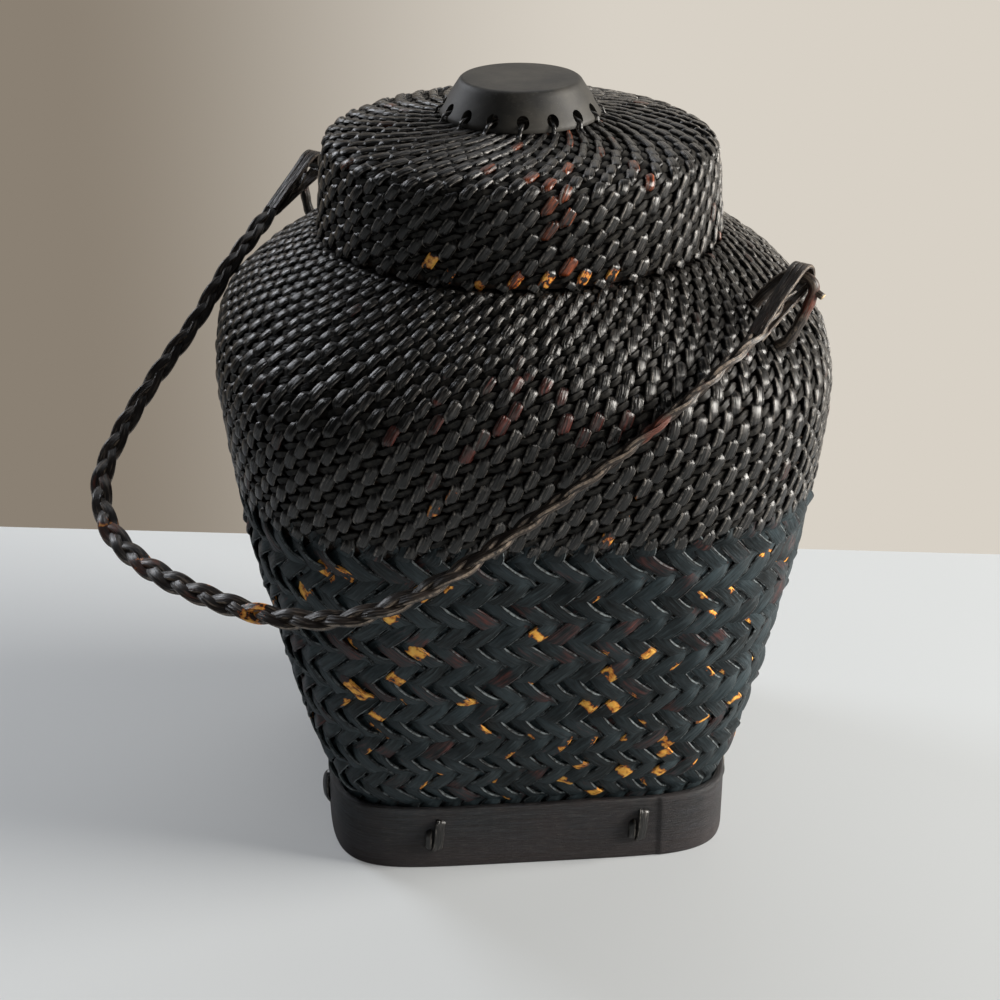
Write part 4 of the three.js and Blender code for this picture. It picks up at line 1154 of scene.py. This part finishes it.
def ear(name, middle, outward, foot_degrees, node):
    """Bent cane arch: a round cane along a curve from the shoulder, over the pin, to the belly."""
    outer, outer_up = surface_point(EAR_OUTER_FOOT_Z, math.radians(foot_degrees))
    inner, inner_up = surface_point(EAR_INNER_FOOT_Z, math.atan2(middle[1], middle[0]))
    up = np.array([0, 0, 1.0])
    knots = np.array([
        inner - inner_up * 2, inner + inner_up * 2, inner + inner_up * 7,
        middle - outward * 8.8 - up * 3.4, middle - outward * 4, middle, middle + outward * 4,
        middle + outward * 6 - up * 3, outer + outer_up * 6, outer + outer_up * 2, outer - outer_up * 2,
    ])
    centre, _ = even(route_line(knots, 200), 0.9)
    inside = (inner + outer) / 2 + up * 8
    bulge = 1 + 0.05 * np.sin(np.arange(len(centre)) * 0.9)
    share = np.linspace(0, 1, len(centre))
    values = {"tone": 0.7, "ruddy": 0.2 + 0.4 * bump(share, 0.62, 0.1)}
    strips(name, centre[None], unit(centre - inside), EAR_WIDTH * bulge, EAR_THICKNESS * bulge, ROUND_SECTION,
           handle_cane, "basket", "brown_cane", values, replaces=(node,))


ear("bent_ear_left", pin_left, -swing_axis, 133, "ear_left")
ear("bent_ear_right", pin_right, swing_axis, -41, "ear_right")


# Handle
def handle_eye(name, middle, throat, node):
    """Eye of the handle: three flat canes side by side, from the plait's throat round the pin and back."""
    away = throat - middle
    reach = np.linalg.norm(away)
    away = unit(away)
    across = np.cross(swing_axis, away)
    outline = np.array([
        (reach, 1.0), (0.72 * reach, 2.1), (0.45 * reach, 3.1), (0.2 * reach, 4.0), (0, EYE_RADIUS),
        (-3.3, 3.1), (-EYE_RADIUS, 0), (-3.3, -3.1), (0, -EYE_RADIUS), (0.2 * reach, -4.0),
        (0.45 * reach, -3.1), (0.72 * reach, -2.1), (reach, -1.0),
    ])
    flat = middle + outline[:, :1] * away + outline[:, 1:] * across
    centre, length = even(route_line(flat, 400), 0.8)
    share = length / length[-1]
    spread = 0.75 + 0.35 * np.sin(math.pi * share)
    strand = np.arange(3)[:, None]
    aside = (strand - 1) * EYE_CANE_SPACING * spread + 0.3 * np.sin(length / 7 + strand)
    line = centre + swing_axis * aside[..., None]
    along = unit(np.gradient(line, axis=1))
    face = unit(np.cross(along, np.broadcast_to(swing_axis, line.shape)))
    values = {"tone": np.array([[0.2], [0.6], [0.9]]), "ruddy": 0.25}
    return strips(name, line, face, EYE_CANE_WIDTH, EYE_CANE_THICKNESS, CROWNED_SECTION, handle_cane,
                  "handle", "plaited_cane", values, replaces=(node,))


left_throat = HANDLE_ROUTE[2] + np.array([1.5, 1.8, 1.1])
eye_left = handle_eye("looped_eye_left", pin_left, left_throat, "handle_eye_left")
eye_right = handle_eye("looped_eye_right", pin_right, HANDLE_ROUTE[-3], "handle_eye_right")


# Worn places of the handle: middle and reach as shares of its length, and strength
HANDLE_WORN = (
    (0.37, 0.01, 0.74), (0.42, 0.012, 0.8), (0.5, 0.02, 0.78), (0.55, 0.03, 0.9), (0.66, 0.01, 0.75),
)


def handle_plait():
    """Three-strand plait: a strand's side step is a sine of the length, its depth step twice as fast.

    The plait as a whole rolls gently, is widest near its middle and thins into the eyes.
    """
    centre, length = even(route_line(HANDLE_ROUTE, 900), 1.1)
    along = unit(np.gradient(centre, axis=0))
    flat_side = unit(np.cross(along, (0, 0, 1.0)))
    above = np.cross(flat_side, along)
    roll = np.radians(35) * np.sin(length / 60)
    side = flat_side * np.cos(roll)[:, None] + above * np.sin(roll)[:, None]
    top = above * np.cos(roll)[:, None] - flat_side * np.sin(roll)[:, None]
    share = length / length[-1]
    fullest = bump(share, 0.42, 0.15)
    # Tone rises over the plait's second half, towards the right eye
    toward_right_eye = 0.3 + 0.7 * np.clip((share - 0.5) / 0.25, 0, 1)
    strand = np.arange(3)[:, None]
    angle = TURN * (length / STRAND_PERIOD + strand / 3)
    across = STRAND_SIDE_STEP * (1 + 0.3 * fullest) * np.sin(angle)
    deep = STRAND_DEPTH_STEP * np.sin(2 * angle)
    line = centre + side * across[..., None] + top * deep[..., None]
    face = unit(top + side * 0.15 * np.cos(angle)[..., None])
    from_end = np.minimum(length, length[-1] - length)
    taper = np.clip(0.45 + 0.55 * (from_end - 10) / 14, 0.45, 1)
    width = STRAND_WIDTH * taper * (1 + 0.2 * fullest) * (0.94 + 0.1 * rng.random((3, 1)))
    width = width + 0.2 * np.sin(length / 5.1)
    gold = sum(size * bump(share, middle, reach) for middle, reach, size in HANDLE_WORN)
    red = 0.75 * bump(share, 0.86, 0.025) + 0.3 * bump(share, 0.4, 0.1) + 0.2
    pulse = 0.5 + 0.5 * np.sin(length / 4.3)
    values = {"tone": (0.35 + 0.3 * strand) * toward_right_eye, "worn": gold * pulse, "ruddy": red * pulse}
    plait = strips("handle_plait", line, face, width, STRAND_THICKNESS * taper, CROWNED_SECTION, handle_cane,
                   "handle", "plaited_cane", values, replaces=("handle_cord",))


handle_plait()


def cut_stub():
    """Cut end of the handle's cane, standing off the right eye: a short tapering cane with a pale face."""
    start = pin_right + np.array(STUB_START)
    finish = pin_right + np.array(STUB_END)
    t = np.linspace(0, 1, 8)[:, None]
    line = (start * (1 - t) + finish * t)[None]
    strips("cut_cane_end", line, (0, 0, 1), 3.2, 2.4, ROUND_SECTION, handle_cane, "handle", "plaited_cane",
           {"tone": 0.6})
    along = unit(finish - start)
    disc = np.stack([finish + along * 0.02, finish + along * 0.25])[None]
    strips("cut_cane_face", disc, (0, 0, 1), 3.0, 2.2, ROUND_SECTION, pale_end, "handle", "plaited_cane")


cut_stub()

# Hoops keep their own shape and take the finish of the inside
for hoop_name in ("mouth_hoop_outer", "mouth_hoop_inner", "lid_rim_hoop"):
    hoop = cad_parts[hoop_name]
    hoop.data.materials.clear()
    hoop.data.materials.append(lining)


# Floor, background and light
def stage_sheet(name, corners, material):
    """A flat four-cornered sheet of the surroundings."""
    mesh = bpy.data.meshes.new(name)
    mesh.from_pydata(corners, [], [(0, 1, 2, 3)])
    mesh.materials.append(material)
    thing = bpy.data.objects.new(name, mesh)
    bpy.context.collection.objects.link(thing)


def table_top():
    """Pale table top that ends behind the basket: lighter to the camera, and painted darker towards the key
    lamp, a painted shade that holds back its pool of light.
    """
    material, tree, place = new_material("pale_table_top")
    cloud = add(tree, "TexNoise", place, 3, 3)
    pale = add(tree, "Mix", cloud, "#babfc2", "#c2c6c9", data_type="RGBA")
    across = add(tree, "SeparateXYZ", place)
    # Painted shade: the table's colour darkens towards the key lamp's side
    lamp_side_shade = add(tree, "MapRange", across, 0.5, 1.6, interpolation_type="SMOOTHSTEP")
    shaded = add(tree, "Mix", lamp_side_shade, pale, "#5c5e5f", data_type="RGBA")
    shader = add(tree, "BsdfPrincipled", named={"Base Color": shaded, "Roughness": 0.6})
    lift = add(tree, "Emission", "#ffffff", 0.14)
    seen = add(tree, "MixShader", add(tree, "LightPath"), named={2: lift})
    add(tree, "OutputMaterial", add(tree, "AddShader", shader, seen))
    turn = math.radians(-8.5)
    half_width = 3
    far_edge = 0.206
    left, right = ((k * math.cos(turn), far_edge + k * math.sin(turn), 0) for k in (-half_width, half_width))
    stage_sheet("floor", [(-half_width, -3, 0), (half_width, -3, 0), right, left], material)


def backdrop():
    """Warm grey sheet far behind that glows and so lights the scene like a broad soft lamp, with painted
    shade darkening it towards the left.
    """
    material, tree, place = new_material("glowing_grey_backdrop")
    across = add(tree, "SeparateXYZ", place)
    # Painted shade: the glow darkens towards the left; the sheet glows for every ray, lighting the basket and
    # the table like a lamp
    fade = add(tree, "MapRange", across, -0.46, 0.41, interpolation_type="SMOOTHSTEP")
    glow_colour = add(tree, "Mix", fade, "#8a8073", "#d8d1c6", data_type="RGBA")
    add(tree, "OutputMaterial", add(tree, "Emission", glow_colour))
    left, right, behind, bottom, top = -2.7, 3.4, 2.2, -3.0, 2.6
    corners = [(left, behind, bottom), (right, behind, bottom), (right, behind, top), (left, behind, top)]
    stage_sheet("backdrop", corners, material)


def surroundings():
    """World: warm grey to the camera and a faint cool light to everything else."""
    world = bpy.data.worlds.new("world")
    bpy.context.scene.world = world
    world.use_nodes = True
    tree = world.node_tree
    tree.nodes.clear()
    light = add(tree, "Background", "#f1f3f6", 0.05)
    seen = add(tree, "Background", "#c6beb3", 1.0)
    add(tree, "OutputWorld", add(tree, "MixShader", add(tree, "LightPath"), light, seen))


# Square lamps, all aimed at the basket's middle: place and size in metres, power in watts, colour
LAMPS = {
    "key": ((2.36, -0.42, 0.95), 1.2, 130, "#fffaf2"),
    "top": ((0.1, 0.6, 1.1), 0.6, 1.2, "#f4f8ff"),
    "left": ((-0.85, 0.8, 0.85), 0.4, 7, "#f4f8ff"),
    "front": ((0.6, -1.7, 0.4), 1.2, 4.5, "#fffdf8"),
}
LAMP_TARGET = np.array([0, 0, 0.13])


def lamps():
    """The lamps of the table above."""
    for name, (place, size, power, colour) in LAMPS.items():
        data = bpy.data.lights.new(name, "AREA")
        data.shape = "SQUARE"
        data.size = size
        data.energy = power
        data.color = linear(colour)[:3]
        lamp = bpy.data.objects.new(name, data)
        bpy.context.collection.objects.link(lamp)
        lamp.matrix_world = look_along(LAMP_TARGET - np.array(place), place)


table_top()
backdrop()
surroundings()
lamps()
bpy.context.scene.view_settings.view_transform = "Standard"
